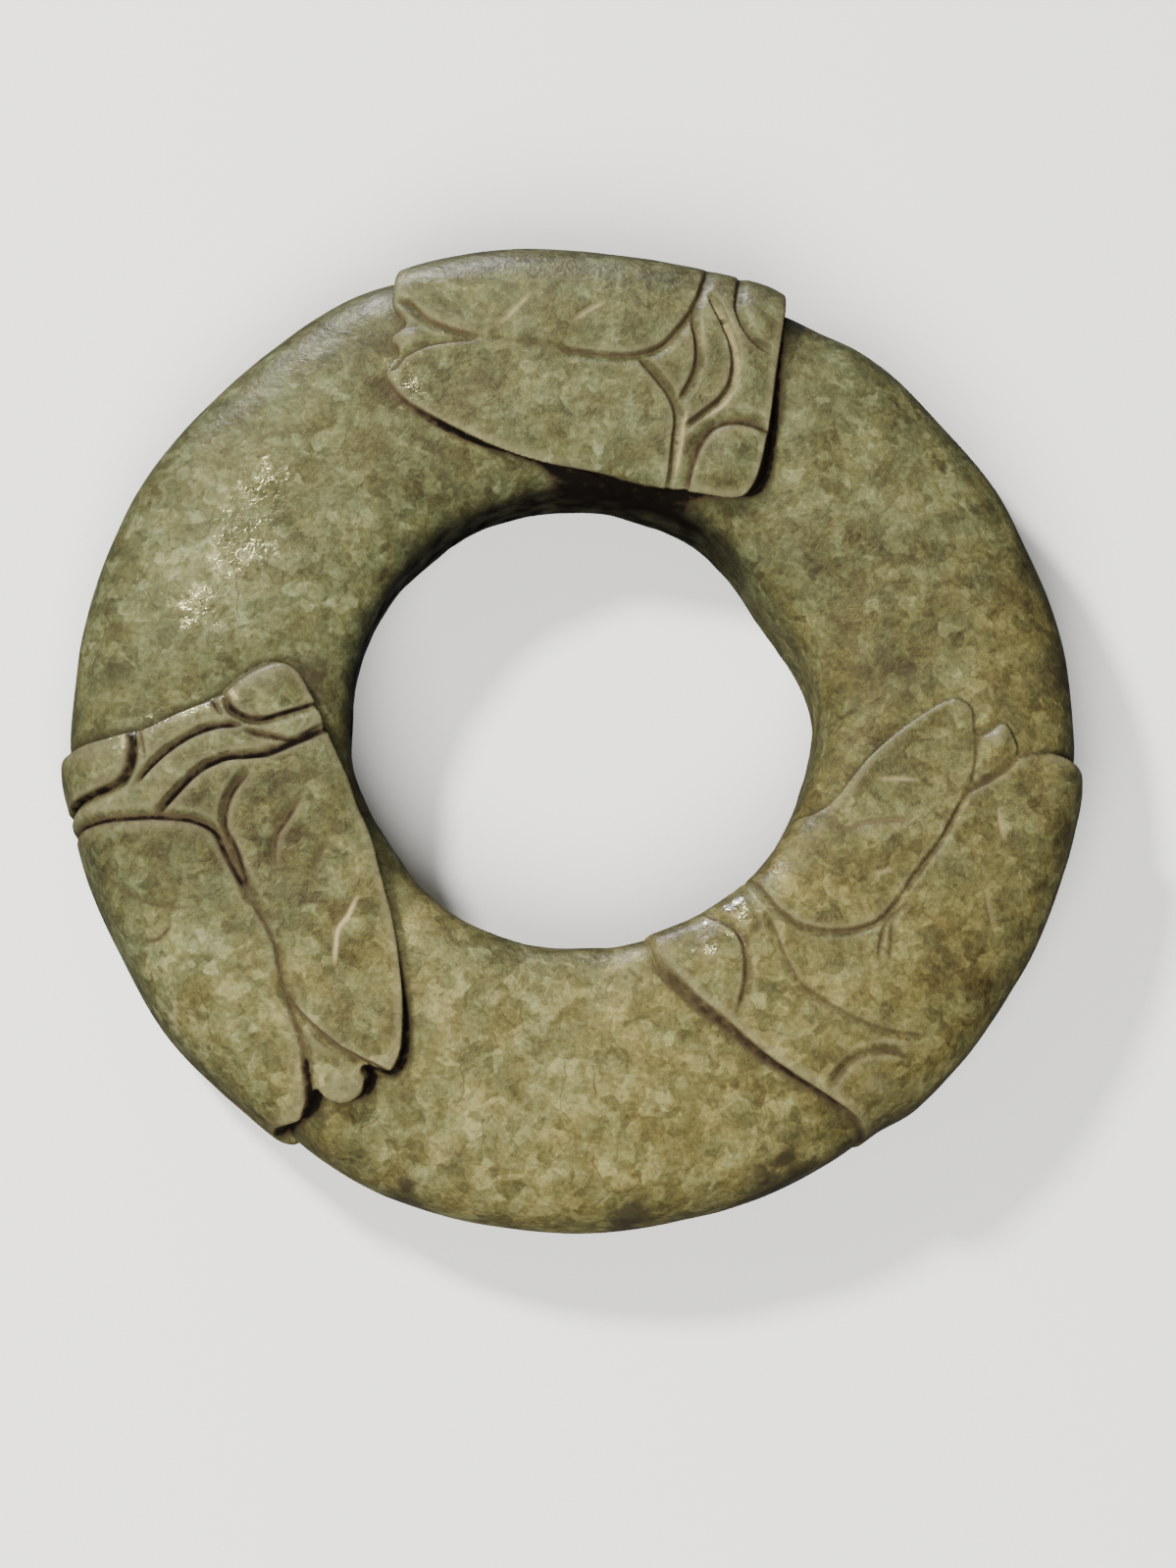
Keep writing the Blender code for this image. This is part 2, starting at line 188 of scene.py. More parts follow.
def smooth_between(tree, value, low, high, start=0.0, end=1.0):
    """A smooth rise from start to end, while the value goes from low to high."""
    settings = {"interpolation_type": "SMOOTHSTEP"}
    node = new_node(tree, "ShaderNodeMapRange", settings, i0=value, i1=low, i2=high, i3=start, i4=end)
    return node.outputs[0]


# %% Build the tree of the blank
BLANK_SIZES = {
    "Outer Radius": 50.0 * MM,
    "Hole Radius": 23.2 * MM,
    "Widest Height": 8.0 * MM,
    "Crown Height": 16.6 * MM,
    "Underside Rounding": 9.5 * MM,
    "Rim Squareness": 2.7,
    "Hole Squareness": 4.2,
}
FINENESS = 1.0
POINTS_ROUND = int(1500 * FINENESS)
POINTS_OVER = int(330 * FINENESS)


def blank_tree():
    tree = bpy.data.node_groups.new("ring blank", "GeometryNodeTree")
    tree.interface.new_socket("Geometry", in_out="OUTPUT", socket_type="NodeSocketGeometry")
    for name, value in BLANK_SIZES.items():
        tree.interface.new_socket(name, in_out="INPUT", socket_type="NodeSocketFloat").default_value = value
    for name, value in (("Points Round", POINTS_ROUND), ("Points Over", POINTS_OVER)):
        tree.interface.new_socket(name, in_out="INPUT", socket_type="NodeSocketInt").default_value = value
    tree.interface.new_socket("Material", in_out="INPUT", socket_type="NodeSocketMaterial")
    given = tree.nodes.new("NodeGroupInput").outputs

    circle = new_node(tree, "GeometryNodeCurvePrimitiveCircle", Resolution=720, Radius=1.0)
    place = new_node(tree, "ShaderNodeSeparateXYZ", i0=new_node(tree, "GeometryNodeInputPosition").outputs[0])
    outward, upward = place.outputs[0], place.outputs[1]
    near_hole = smooth_between(tree, times(tree, outward, -1.0), -0.3, 0.7)
    hole_share = times(tree, near_hole, smooth_between(tree, upward, -0.4, 0.0))
    power_gain = do_sum(tree, "SUBTRACT", given["Hole Squareness"], given["Rim Squareness"])
    power = do_sum(tree, "MULTIPLY_ADD", power_gain, hole_share, given["Rim Squareness"])
    width = times(tree, do_sum(tree, "SUBTRACT", given["Outer Radius"], given["Hole Radius"]), 0.5)
    above = do_sum(tree, "GREATER_THAN", upward, 0.0)
    rise = do_sum(tree, "SUBTRACT", given["Crown Height"], given["Widest Height"])
    rise_gain = do_sum(tree, "SUBTRACT", rise, given["Underside Rounding"])
    height = do_sum(tree, "MULTIPLY_ADD", rise_gain, above, given["Underside Rounding"])
    across_part = do_sum(tree, "POWER", do_sum(tree, "DIVIDE", do_sum(tree, "ABSOLUTE", outward), width), power)
    along_part = do_sum(tree, "POWER", do_sum(tree, "DIVIDE", do_sum(tree, "ABSOLUTE", upward), height), power)
    total = do_sum(tree, "ADD", across_part, along_part)
    reach = do_sum(tree, "POWER", total, do_sum(tree, "DIVIDE", -1.0, power))
    pushed = new_node(
        tree, "ShaderNodeCombineXYZ",
        i0=times(tree, outward, reach), i1=times(tree, upward, reach),
    )
    section = new_node(tree, "GeometryNodeSetPosition", Geometry=circle.outputs[0], Position=pushed.outputs[0])
    section = new_node(tree, "GeometryNodeResampleCurve", Curve=section.outputs[0], Count=given["Points Over"])

    middle = times(tree, do_sum(tree, "ADD", given["Outer Radius"], given["Hole Radius"]), 0.5)
    track = new_node(tree, "GeometryNodeCurvePrimitiveCircle", Resolution=given["Points Round"], Radius=middle)
    track = new_node(tree, "GeometryNodeSetCurveNormal", {"mode": "Z_UP"}, Curve=track.outputs[0])
    swept = new_node(tree, "GeometryNodeCurveToMesh", Curve=track.outputs[0], Profile_Curve=section.outputs[0])
    lift = new_node(tree, "ShaderNodeCombineXYZ", i2=given["Widest Height"])
    lifted = new_node(tree, "GeometryNodeSetPosition", Geometry=swept.outputs[0], Offset=lift.outputs[0])
    smooth = new_node(tree, "GeometryNodeSetShadeSmooth", Geometry=lifted.outputs[0])
    real = new_node(tree, "GeometryNodeRealizeInstances", Geometry=smooth.outputs[0])
    dressed = new_node(tree, "GeometryNodeSetMaterial", Geometry=real.outputs[0], Material=given["Material"])
    tree.links.new(dressed.outputs[0], tree.nodes.new("NodeGroupOutput").inputs[0])
    return tree


def mesh_from_tree(tree, name, material):
    """Evaluate a tree on an empty mesh, and keep the result as a plain mesh."""
    carrier = bpy.data.objects.new(name, bpy.data.meshes.new(name))
    bpy.context.scene.collection.objects.link(carrier)
    nodes = carrier.modifiers.new("nodes", "NODES")
    nodes.node_group = tree
    for socket in tree.interface.items_tree:
        if socket.in_out == "INPUT" and socket.name in BLANK_SIZES:
            nodes[socket.identifier] = BLANK_SIZES[socket.name]
        elif socket.in_out == "INPUT" and socket.socket_type == "NodeSocketMaterial":
            nodes[socket.identifier] = material
    evaluated = carrier.evaluated_get(bpy.context.evaluated_depsgraph_get())
    mesh = bpy.data.meshes.new_from_object(evaluated)
    bpy.data.objects.remove(carrier, do_unlink=True)
    return mesh


jade = bpy.data.materials.new("mottled jade")
blank = mesh_from_tree(blank_tree(), "carved ring", jade)
print("the blank has", len(blank.vertices), "points and", len(blank.polygons), "faces")

# %% [markdown]
# ## How the stone was worn
#
# No hand-ground ring is a true circle. The rim and the hole of this one have flats and swellings,
# which the outline in the photo shows. Each is a gentle bump in the radius: where it is, how wide
# it is, and how far it moves the surface.

# %% Worn places round the rim and the hole
OUTER_RADIUS = BLANK_SIZES["Outer Radius"]
HOLE_RADIUS = BLANK_SIZES["Hole Radius"]
WIDEST_HEIGHT = BLANK_SIZES["Widest Height"]
CROWN_HEIGHT = BLANK_SIZES["Crown Height"]
UNDERSIDE_ROUNDING = BLANK_SIZES["Underside Rounding"]
HOLE_SHIFT_X = 0.2 * MM
HOLE_SHIFT_Y = 0.5 * MM
# Angle and half width in degrees, and how far the surface moves away from the ring's axis.
RIM_WEAR = (
    (22, 26, -0.3 * MM),
    (45, 9, -0.35 * MM),
    (60, 4, -0.6 * MM),
    (80, 14, -1.3 * MM),
    (112, 10, 0.6 * MM),
    (160, 20, 0.5 * MM),
    (184, 5, 0.6 * MM),
    (230, 9, -0.5 * MM),
    (250, 20, 0.6 * MM),
    (320, 18, -0.6 * MM),
    (354, 7, 0.5 * MM),
)
HOLE_WEAR = (
    (5, 9, 0.5 * MM),
    (34, 13, -1.2 * MM),
    (85, 32, 0.5 * MM),
    (165, 22, -0.3 * MM),
    (234, 12, 0.5 * MM),
    (262, 36, 0.3 * MM),
    (292, 26, -0.4 * MM),
    (330, 14, -0.3 * MM),
)


def smooth_step(value, low, high):
    share = np.clip((value - low) / (high - low), 0.0, 1.0)
    return share * share * (3.0 - 2.0 * share)


def wear(angles, spots):
    moved = np.zeros_like(angles)
    for middle, half_width, amount in spots:
        away = (np.degrees(angles) - middle + 180.0) % 360.0 - 180.0
        moved += amount * np.exp(-((away / half_width) ** 2))
    return moved


print("the rim moves in by up to", round(-1000.0 * min(spot[2] for spot in RIM_WEAR), 1), "mm")

# %% [markdown]
# ## Two skins
#
# The carving lies between two skins. The lower one is the ground band. The upper one is the blank's
# old skin, a little larger and squarer, which only the insects keep. For any point of the blank,
# both skins lie along the same line out of the middle of the section, so the carving only has to say
# how much of the way to the upper skin the stone still stands.

# %% The band and the blank's old skin
SKIN_ABOVE_BAND = 1.6 * MM
SKIN_OUTSIDE_BAND = 1.3 * MM
SKIN_RIM_SQUARENESS = 0.6
SKIN_HOLE_SQUARENESS = 3.2


def reach_of_section(direction, inward, outward, up, down, extra_at_rim=0.0, extra_at_hole=0.0):
    """The distance from a section's middle to its edge, in a direction measured from the outward side."""
    hole_share = smooth_step(-np.cos(direction), -0.3, 0.7) * smooth_step(np.sin(direction), -0.4, 0.0)
    at_rim = BLANK_SIZES["Rim Squareness"] + extra_at_rim
    at_hole = BLANK_SIZES["Hole Squareness"] + extra_at_hole
    squareness = at_rim + (at_hole - at_rim) * hole_share
    across = np.where(np.cos(direction) > 0.0, outward, inward)
    along = np.where(np.sin(direction) > 0.0, up, down)
    shape = np.abs(np.cos(direction) / across) ** squareness + np.abs(np.sin(direction) / along) ** squareness
    return shape ** (-1.0 / squareness)


def two_skins(angles, over):
    """For each point, the middle of its section, and the reach of the band and of the blank's old skin."""
    toward_shift = np.cos(angles) * HOLE_SHIFT_X + np.sin(angles) * HOLE_SHIFT_Y
    rim = OUTER_RADIUS + wear(angles, RIM_WEAR)
    hole = HOLE_RADIUS + toward_shift + wear(angles, HOLE_WEAR)
    middle = (rim + hole) / 2.0
    half = (rim - hole) / 2.0
    crown = CROWN_HEIGHT - WIDEST_HEIGHT
    band = reach_of_section(over, half, half, crown, UNDERSIDE_ROUNDING)
    skin = reach_of_section(
        over, half, half + SKIN_OUTSIDE_BAND, crown + SKIN_ABOVE_BAND, UNDERSIDE_ROUNDING,
        SKIN_RIM_SQUARENESS, SKIN_HOLE_SQUARENESS,
    )
    # Below its widest place the old skin runs back into the band.
    skin = band + (skin - band) * smooth_step(np.sin(over), -0.75, -0.05)
    return middle, band, skin


points = np.empty(3 * len(blank.vertices), np.float32)
blank.vertices.foreach_get("co", points)
points = points.reshape(-1, 3).astype(float)
angles = np.arctan2(points[:, 1], points[:, 0])
track_radius = (OUTER_RADIUS + HOLE_RADIUS) / 2.0
over = np.arctan2(points[:, 2] - WIDEST_HEIGHT, np.hypot(points[:, 0], points[:, 1]) - track_radius)
section_middle, band_reach, skin_reach = two_skins(angles, over)
plan_radius = section_middle + skin_reach * np.cos(over)
plan_x = plan_radius * np.cos(angles)
plan_y = plan_radius * np.sin(angles)
print("the old skin stands up to", round(1000.0 * (skin_reach - band_reach).max(), 2), "mm above the band")

# %% [markdown]
# ## A drawing to carve by
#
# A carver first scratches the drawing on the skin. Here the drawing is a few lines for each insect,
# in its own frame, in millimetres: x runs towards its head and y towards the rim. Smooth curves run
# through the points. What the stone needs to know at each place is how far away the nearest line is,
# on which side of it the place lies, and how far along it.

# %% Curves and distances
Cut = namedtuple("Cut", "points left right depth soil pale", defaults=(0.5, 0.0))
Boss = namedtuple("Boss", "middle half_sizes height")
# The shares say how much of the old skin stands at the head and at the tail, and the drops how much of
# it is missing at the end of the tail and where the head meets the rim. The wall soil is painted shade
# with soil: how dark the step's foot and wall are where they face away from the light.
Insect = namedtuple(
    "Insect",
    "name at_angle out_from_middle heading head_share tail_share tail_drop rim_drop wall_soil outline cuts bosses",
)


def painted_highlight_line(points, pale):
    """A pale line that is hardly cut at all, painted where a ridge or an edge catches the light: a painted highlight.
    """
    return Cut(points, 0.3, 0.3, 0.02, 0.0, pale)


def smooth_path(points, closed=False, steps=6):
    """A smooth curve through the points: a centripetal Catmull-Rom spline, in metres."""
    points = np.array(points, float) * MM
    if closed:
        points = np.vstack([points[-1], points, points[0], points[1]])
    else:
        points = np.vstack([2 * points[0] - points[1], points, 2 * points[-1] - points[-2]])
    curve = []
    for p0, p1, p2, p3 in zip(points, points[1:], points[2:], points[3:]):
        t1 = math.sqrt(np.linalg.norm(p1 - p0))
        t2 = t1 + math.sqrt(np.linalg.norm(p2 - p1))
        t3 = t2 + math.sqrt(np.linalg.norm(p3 - p2))
        for t in np.linspace(t1, t2, steps, endpoint=False):
            a1 = (t1 - t) / t1 * p0 + t / t1 * p1
            a2 = (t2 - t) / (t2 - t1) * p1 + (t - t1) / (t2 - t1) * p2
            a3 = (t3 - t) / (t3 - t2) * p2 + (t - t2) / (t3 - t2) * p3
            b1 = (t2 - t) / t2 * a1 + t / t2 * a2
            b2 = (t3 - t) / (t3 - t1) * a2 + (t - t1) / (t3 - t1) * a3
            curve.append((t2 - t) / (t2 - t1) * b1 + (t - t1) / (t2 - t1) * b2)
    if not closed:
        curve.append(points[-2])
    return np.array(curve)


def distance_to_path(x, y, path):
    """Each place's distance to a path, the share of the path's length passed, and if it is left of the path."""
    lengths = np.linalg.norm(np.diff(path, axis=0), axis=1)
    passed = np.concatenate([[0.0], np.cumsum(lengths)])
    nearest = np.full(x.shape, np.inf)
    place = np.zeros(x.shape)
    left = np.zeros(x.shape, bool)
    for (ax, ay), (bx, by), length, before in zip(path, path[1:], lengths, passed):
        share = np.clip(((x - ax) * (bx - ax) + (y - ay) * (by - ay)) / length**2, 0.0, 1.0)
        away = np.hypot(x - ax - share * (bx - ax), y - ay - share * (by - ay))
        closer = away < nearest
        nearest = np.where(closer, away, nearest)
        place = np.where(closer, (before + share * length) / passed[-1], place)
        left = np.where(closer, (bx - ax) * (y - ay) - (by - ay) * (x - ax) > 0.0, left)
    return nearest, place, left


def depth_inside(x, y, outline):
    """Each place's distance to a closed outline, positive inside it."""
    ring = np.vstack([outline, outline[0]])
    inside = np.zeros(x.shape, bool)
    for (ax, ay), (bx, by) in zip(ring, ring[1:]):
        if ay != by:
            inside ^= ((ay > y) != (by > y)) & (x < (bx - ax) * (y - ay) / (by - ay) + ax)
    away = distance_to_path(x, y, ring)[0]
    return np.where(inside, away, -away)


# %% [markdown]
# ## The three insects
#
# Each cut has a steep side and a slanting side, which is how old jade is carved: the wheel is held
# at a slant against one side of the line. So each line gets two widths, left and right as one
# travels along it. It also gets its depth, and how much soil and painted shade it holds. The insects
# differ, as hand work does: the one on the left is cut deepest, and the one on the right is worn
# almost smooth.

# %% The insect at the top
TOP_INSECT = Insect(
    name="top",
    at_angle=91.2,
    out_from_middle=-0.9 * MM,
    heading=-10.6,
    head_share=1.0,
    tail_share=0.6,
    tail_drop=0.32,
    rim_drop=0.0,
    wall_soil=1.0,
    outline=[
        (19.1, 24), (19.7, 13.6), (19.9, 3.6), (20.1, -3.1), (19.6, -8.8), (18.2, -10.8), (13.5, -11),
        (4, -10.8), (-1.2, -11.4), (-5.8, -11), (-11, -9.5), (-14.5, -8), (-17.3, -6.3), (-19.1, -3.8),
        (-18.3, -1.6), (-19.6, 0.2), (-18.6, 2), (-20.3, 4.4), (-20.7, 7), (-19.3, 12), (-10, 24), (0, 24),
    ],
    cuts=[
        Cut([(-10.1, 1.5), (-5.1, 1.5), (0, 1.6)], 0.6, 0.6, 0.12, 0.35),
        Cut([(-2.5, 1.6), (0, 1.6), (2.9, 1.9), (5.6, 2.5), (7.6, 3.9),
             (8.9, 6), (9.8, 8), (10.4, 10.4), (10.9, 14.5)], 0.25, 1.1, 0.6, 0.6),
        Cut([(10.4, 10.8), (10.2, 7.4), (11, 5.1), (11.4, 2.7), (11.1, 0.6), (10.3, -1.8)], 0.9, 0.25, 0.6, 0.6),
        Cut([(11.2, 10.8), (13, 8), (14.3, 5.8), (15, 3.9), (15.1, 1.5),
             (14.5, -0.3), (12.7, -2.7), (11, -4.6)], 0.9, 0.25, 0.65, 0.6),
        Cut([(5.2, 2.3), (6.1, 1.6), (8, 0), (9.6, -1.7), (10.4, -3.4),
             (10.6, -5.6), (10.9, -9.3), (10.9, -11.2)], 1.0, 0.25, 0.6),
        Cut([(12.8, -11.2), (13, -7.6), (13.6, -5.1), (14.6, -3.6),
             (16.4, -2.7), (18, -2.6), (20.6, -3.2)], 1.6, 0.35, 0.95, 0.7),
        Cut([(14.3, 15), (14.4, 9.5), (15.7, 7.2), (17.2, 6), (18.8, 5.4)], 0.9, 0.25, 0.6),
        Cut([(-20.5, 4.9), (-18.7, 4.7), (-16.2, 2.9), (-13.7, 1.9), (-10.1, 1.3)], 0.2, 1.1, 0.5),
        Cut([(-19.3, -4.4), (-18.3, -3.6), (-17.5, -1.9), (-15.8, -0.6), (-13.2, 0.3), (-10.1, 1.1)], 1.0, 0.2, 0.42),
        Cut([(-8.9, 2.9), (-7.6, 5.1), (-6.2, 7.2)], 0.7, 0.5, 0.08, 0.0, 0.5),
        Cut([(-1.7, 4.4), (0, 6.2), (1.5, 7.5)], 0.6, 0.4, 0.08, 0.0, 0.5),
        # Painted highlights: pale lines on the ridges beside the head's cuts, where they catch the light.
        painted_highlight_line([(11.6, 10.2), (13.4, 7.9), (14.9, 5.4), (15.6, 3.4), (15.7, 1.4), (15.1, -0.8), (13.4, -3)], 0.6),
        painted_highlight_line([(11.5, -2.3), (11.4, -4.6), (11.5, -6.7), (11.6, -9.6)], 0.6),
        painted_highlight_line([(11.1, 7.4), (11.6, 5.4), (12, 3.6)], 0.35),
    ],
    bosses=[
        Boss((17.2, 10.5), (3.2, 4.6), 0.35 * MM),
        Boss((16.8, -7), (3.4, 4.2), 0.5 * MM),
        Boss((-17.3, 0.2), (1.9, 1.5), 0.5 * MM),
    ],
)

# %% The insect on the left
LEFT_INSECT = Insect(
    name="left",
    at_angle=-145.8,
    out_from_middle=1.7 * MM,
    heading=112.7,
    head_share=0.8,
    tail_share=1.0,
    tail_drop=0.0,
    rim_drop=0.0,
    wall_soil=0.9,
    outline=[
        (23.4, 24), (23.6, 11), (23, 8.4), (22.6, 6.2), (22.2, 4.3), (22.3, 1.5), (22.3, -1.1), (22.2, -3.3),
        (22.3, -5.1), (23, -7.1), (23.3, -9.8), (22.9, -12), (21.6, -13.2), (17.7, -13.7), (10.9, -14),
        (2.6, -13.6), (-4.2, -12.6), (-9.8, -11), (-14.5, -9.2), (-18, -7.3), (-19.3, -5.5), (-18.4, -4.1),
        (-17.9, -3.3), (-19.2, -3.1), (-20.5, -1.8), (-20.5, 0), (-19.4, 1.4), (-18.4, 2), (-18.9, 2.9),
        (-20.1, 4), (-19.8, 5.4), (-18.9, 6.9), (-16.5, 10), (0, 24),
    ],
    cuts=[
        Cut([(23.6, 5.9), (21.5, 5.8), (20.1, 6.3), (18.7, 7.3),
             (18, 8.5), (18.1, 10.8), (18.7, 14)], 1.0, 0.3, 0.9, 0.95),
        Cut([(23.2, 4.5), (21, 4.8), (18.7, 5.1)], 0.25, 0.9, 0.45, 0.6),
        Cut([(23.6, -3.4), (21.8, -3.6), (20.1, -3.9)], 0.9, 0.25, 0.45, 0.7),
        Cut([(22.6, -5.1), (20.6, -5.1), (19, -6.3), (18.3, -7.8), (18, -10.3), (17.7, -14)], 0.25, 0.9, 0.65, 0.85),
        Cut([(17, 7.2), (18.3, 4.5), (19.2, 1.6), (19.5, -1.4), (19.2, -3.6), (18.4, -5.6)], 0.7, 0.4, 0.7, 0.9),
        Cut([(18.2, -5.4), (17.4, -6.3), (16, -8.4), (15.2, -9.8), (15.4, -11.9), (15.6, -14)], 0.4, 0.55, 0.5, 0.75),
        Cut([(13, 6.6), (14.4, 3.8), (15.8, 0.4), (16, -2.6), (15.4, -4.8),
             (14.9, -6.6), (14.9, -9.1), (15, -12.8), (15, -14.2)], 0.8, 0.4, 0.8, 1.0),
        Cut([(16.4, 14.6), (14.8, 10.6), (13.8, 8.2), (12.6, 5.4), (11.1, 2.7),
             (9.4, 1.3), (7.2, 1.15), (5.2, 0.95), (2.4, 0.6)], 1.1, 0.25, 0.7, 0.9),
        Cut([(14.1, -4.5), (12.5, -1.9), (10.9, -0.5), (9.4, 0.1),
             (7.2, -0.1), (4.8, 0.1), (2.2, 0.5)], 0.3, 0.95, 0.7, 0.8),
        Cut([(10.2, 0.9), (9, 0.8), (6.5, 0.55), (4, 0.4), (1, 0.4)], 1.0, 1.0, 0.45, 0.45),
        Cut([(2.6, 0.6), (1.9, 0.5), (-2.9, 0), (-5.7, 0.6), (-9.7, 1.1),
             (-13, 1.3), (-16, 2.1), (-19.2, 3.1)], 1.1, 0.25, 0.5),
        Cut([(-14, 1.5), (-16.5, 2.2), (-18.2, 2.7), (-20, 3.2)], 1.2, 0.3, 0.85, 0.9),
        Cut([(-5.6, 0.7), (-8.4, 0.8), (-11.6, -0.2), (-15.2, -2.2),
             (-17.2, -3.8), (-19.8, -6.2)], 0.2, 1.0, 0.55, 0.6),
        Cut([(9.9, -8.5), (8.2, -6.3), (6.8, -4.4), (4, -2.9)], 0.2, 1.2, 0.45, 0.7),
        Cut([(4.9, -9.4), (3.4, -7.6), (1.9, -6.3)], 0.2, 0.8, 0.25, 0.4),
        Cut([(-1.5, -9.5), (-3.1, -7.8), (-4, -6.4), (-5.7, -5.4), (-7.3, -4.6)], 0.3, 0.3, 0.1, 0.0, 1.0),
        Cut([(10.3, 12.8), (7.8, 11.8), (4.6, 9), (3, 5.5)], 0.3, 0.3, 0.08, 0.45),
        Cut([(2.5, 12.1), (1.8, 10.4), (2.5, 8.8), (3.5, 8.7)], 0.3, 0.3, 0.08, 0.6),
        Cut([(-4.4, 11.4), (-7.4, 8.6), (-9.7, 5.8), (-12.4, 4.2)], 0.3, 0.3, 0.08, 0.35),
        # Painted highlights: pale lines on the head's front edge and beside its eyes, where they catch the light.
        painted_highlight_line([(22.4, 4), (22.5, 2.9), (22.2, 0.8), (22, -1), (22.1, -2.6)], 0.7),
        painted_highlight_line([(22.9, -6), (22, -5.7), (21, -6)], 1.0),
        painted_highlight_line([(22.7, 7.4), (22.3, 6.5), (21, 6.6)], 0.8),
    ],
    bosses=[
        Boss((21, 9.6), (3.2, 3.8), 0.45 * MM),
        Boss((20.6, -9.3), (2.8, 4.6), 0.45 * MM),
        Boss((-18.4, -0.7), (2.6, 2.4), 0.6 * MM),
    ],
)

# %% The insect on the right
RIGHT_INSECT = Insect(
    name="right",
    at_angle=-30.0,
    out_from_middle=-0.7 * MM,
    heading=-125.6,
    head_share=0.75,
    tail_share=0.55,
    tail_drop=0.44,
    rim_drop=0.6,
    wall_soil=0.2,
    outline=[
        (20.4, 24), (20.9, 11), (21.4, 3.2), (21.4, -1.6), (20.7, -6.8), (20, -12), (17.6, -18),
        (4, -18), (-1.6, -12.8), (-10.4, -11.5), (-16, -9.3), (-20, -6.8), (-20.1, -4.8), (-18.2, -3.2),
        (-18.9, -1.9), (-21.3, -0.9), (-20.4, 1.5), (-19.4, 2.6), (-21.2, 4), (-23.2, 6.8), (-22.8, 12),
        (-16, 24),
    ],
    cuts=[
        Cut([(12.9, -15), (12.8, -11.1), (14.3, -9.1), (16.5, -7.5), (19.4, -6.3)], 0.9, 0.3, 0.6),
        Cut([(8.6, -14), (9.6, -11.6), (11.1, -9.9), (12.9, -10)], 0.5, 0.4, 0.2, 0.4),
        Cut([(9.4, -10.4), (10.7, -7.9), (12.1, -5.8), (13.3, -3.1), (13.4, -0.1),
             (13.2, 2.8), (12.5, 6.1), (11.3, 8.8), (9.9, 10.9)], 0.25, 0.8, 0.3, 0.38),
        Cut([(20.9, 6), (18.7, 5.9), (16.7, 6.1), (15.2, 6.9), (13.8, 8.6), (12.8, 10.6)], 1.0, 0.3, 0.6),
        Cut([(7, -14), (8.4, -9.4), (8.4, -6.5), (7.6, -4.2), (6.1, -2.2),
             (4, -0.6), (2.1, -0.1), (-0.7, -0.1)], 0.25, 0.9, 0.5),
        Cut([(1, 0), (-0.7, -0.1), (-3.9, -0.1), (-7.1, 0), (-10.8, -0.4), (-13.1, -0.5)], 0.25, 0.7, 0.48),
        Cut([(-11.5, -0.4), (-13, -0.1), (-14.7, 0.8), (-17.1, 1.9), (-19.4, 2.6), (-22, 4.6)], 1.0, 0.25, 0.45),
        Cut([(-12, -0.4), (-13.1, -0.5), (-15.6, -1.4), (-18.3, -3.2), (-20.2, -5)], 0.25, 0.8, 0.25, 0.4),
        Cut([(-0.5, 0.7), (0.9, 0.9), (2.9, 0.4), (5.4, 1.2), (7, 2.2)], 0.5, 0.3, 0.28),
        Cut([(1.6, 0.9), (2.8, 0.9), (4.8, 2.2), (6.9, 3.4)], 0.4, 0.3, 0.2, 0.4),
        Cut([(-7.8, -9.4), (-9.2, -7.5), (-10.4, -5.7)], 0.5, 0.3, 0.14, 0.1, 0.5),
        Cut([(-1.7, -8.9), (-4, -7.2), (-7, -3.4)], 0.4, 0.7, 0.3, 0.6, 0.2),
        Cut([(0.4, -3.8), (-0.6, -3), (-1.5, -2.2)], 0.4, 0.3, 0.1, 0.1, 0.4),
        Cut([(-13.8, 3.4), (-12.3, 4.6), (-10.9, 5.8)], 0.5, 0.3, 0.2, 0.25, 0.7),
        Cut([(-5.4, 6.9), (-3.8, 8.8), (-2.6, 10.2)], 0.4, 0.3, 0.22, 0.5, 0.3),
    ],
    bosses=[
        Boss((16.4, -11.2), (3.6, 3.4), 0.8 * MM),
        Boss((17.2, 9.8), (3.2, 3.8), 0.6 * MM),
        Boss((-19.3, -0.6), (2, 1.6), 0.45 * MM),
    ],
)
INSECTS = (TOP_INSECT, LEFT_INSECT, RIGHT_INSECT)
print(len(INSECTS), "insects with", sum(len(insect.cuts) for insect in INSECTS), "cut lines")

# %% [markdown]
# ## Carving
#
# The carving has four parts. The kept skin rises steeply from the band at an insect's outline and
# rounds over at the top. Outside the outline the band is ground a little deeper, with a sharp line at
# the foot of the step. The eyes and the end of the abdomen are low domes. The cut lines go in last.
#
# Along the way the stone remembers where soil would stay and where shade is painted. In the photo a
# step is darkest on the side that faces away from the light, where soil and shade meet, so that side
# gets painted shade along its foot and up its wall. To find that side, the distance inside the
# outline is measured twice, here and a little nearer the light. Where it grows, the insect lies
# between this place and the light.

# %% How each part of the carving changes the stone
EDGE_WIDTH = 0.6 * MM
EDGE_SOFTNESS = 0.16  # how much the kept skin sinks towards its outline
SOFT_WIDTH = 1.6 * MM
MOAT_DEPTH = 0.35 * MM
MOAT_WIDTH = 2.6 * MM
FOOT_DEPTH = 0.3 * MM
FOOT_WIDTH = 0.35 * MM
RUN_OUT = 1.6 * MM  # the length over which a cut rises to the surface at its ends
# Where the painted shade and soil lie at the foot of a step.
FOOT_SHADE_AND_SOIL_OFFSET = 0.1 * MM
FOOT_SHADE_AND_SOIL_WIDTH = 0.58 * MM


def own_frame(insect, x, y):
    place = math.radians(insect.at_angle)
    heading = math.radians(insect.heading)
    from_axis = track_radius + insect.out_from_middle
    from_middle_x = x - from_axis * math.cos(place)
    from_middle_y = y - from_axis * math.sin(place)
    ahead = from_middle_x * math.cos(heading) + from_middle_y * math.sin(heading)
    rimward = from_middle_y * math.cos(heading) - from_middle_x * math.sin(heading)
    return ahead, rimward


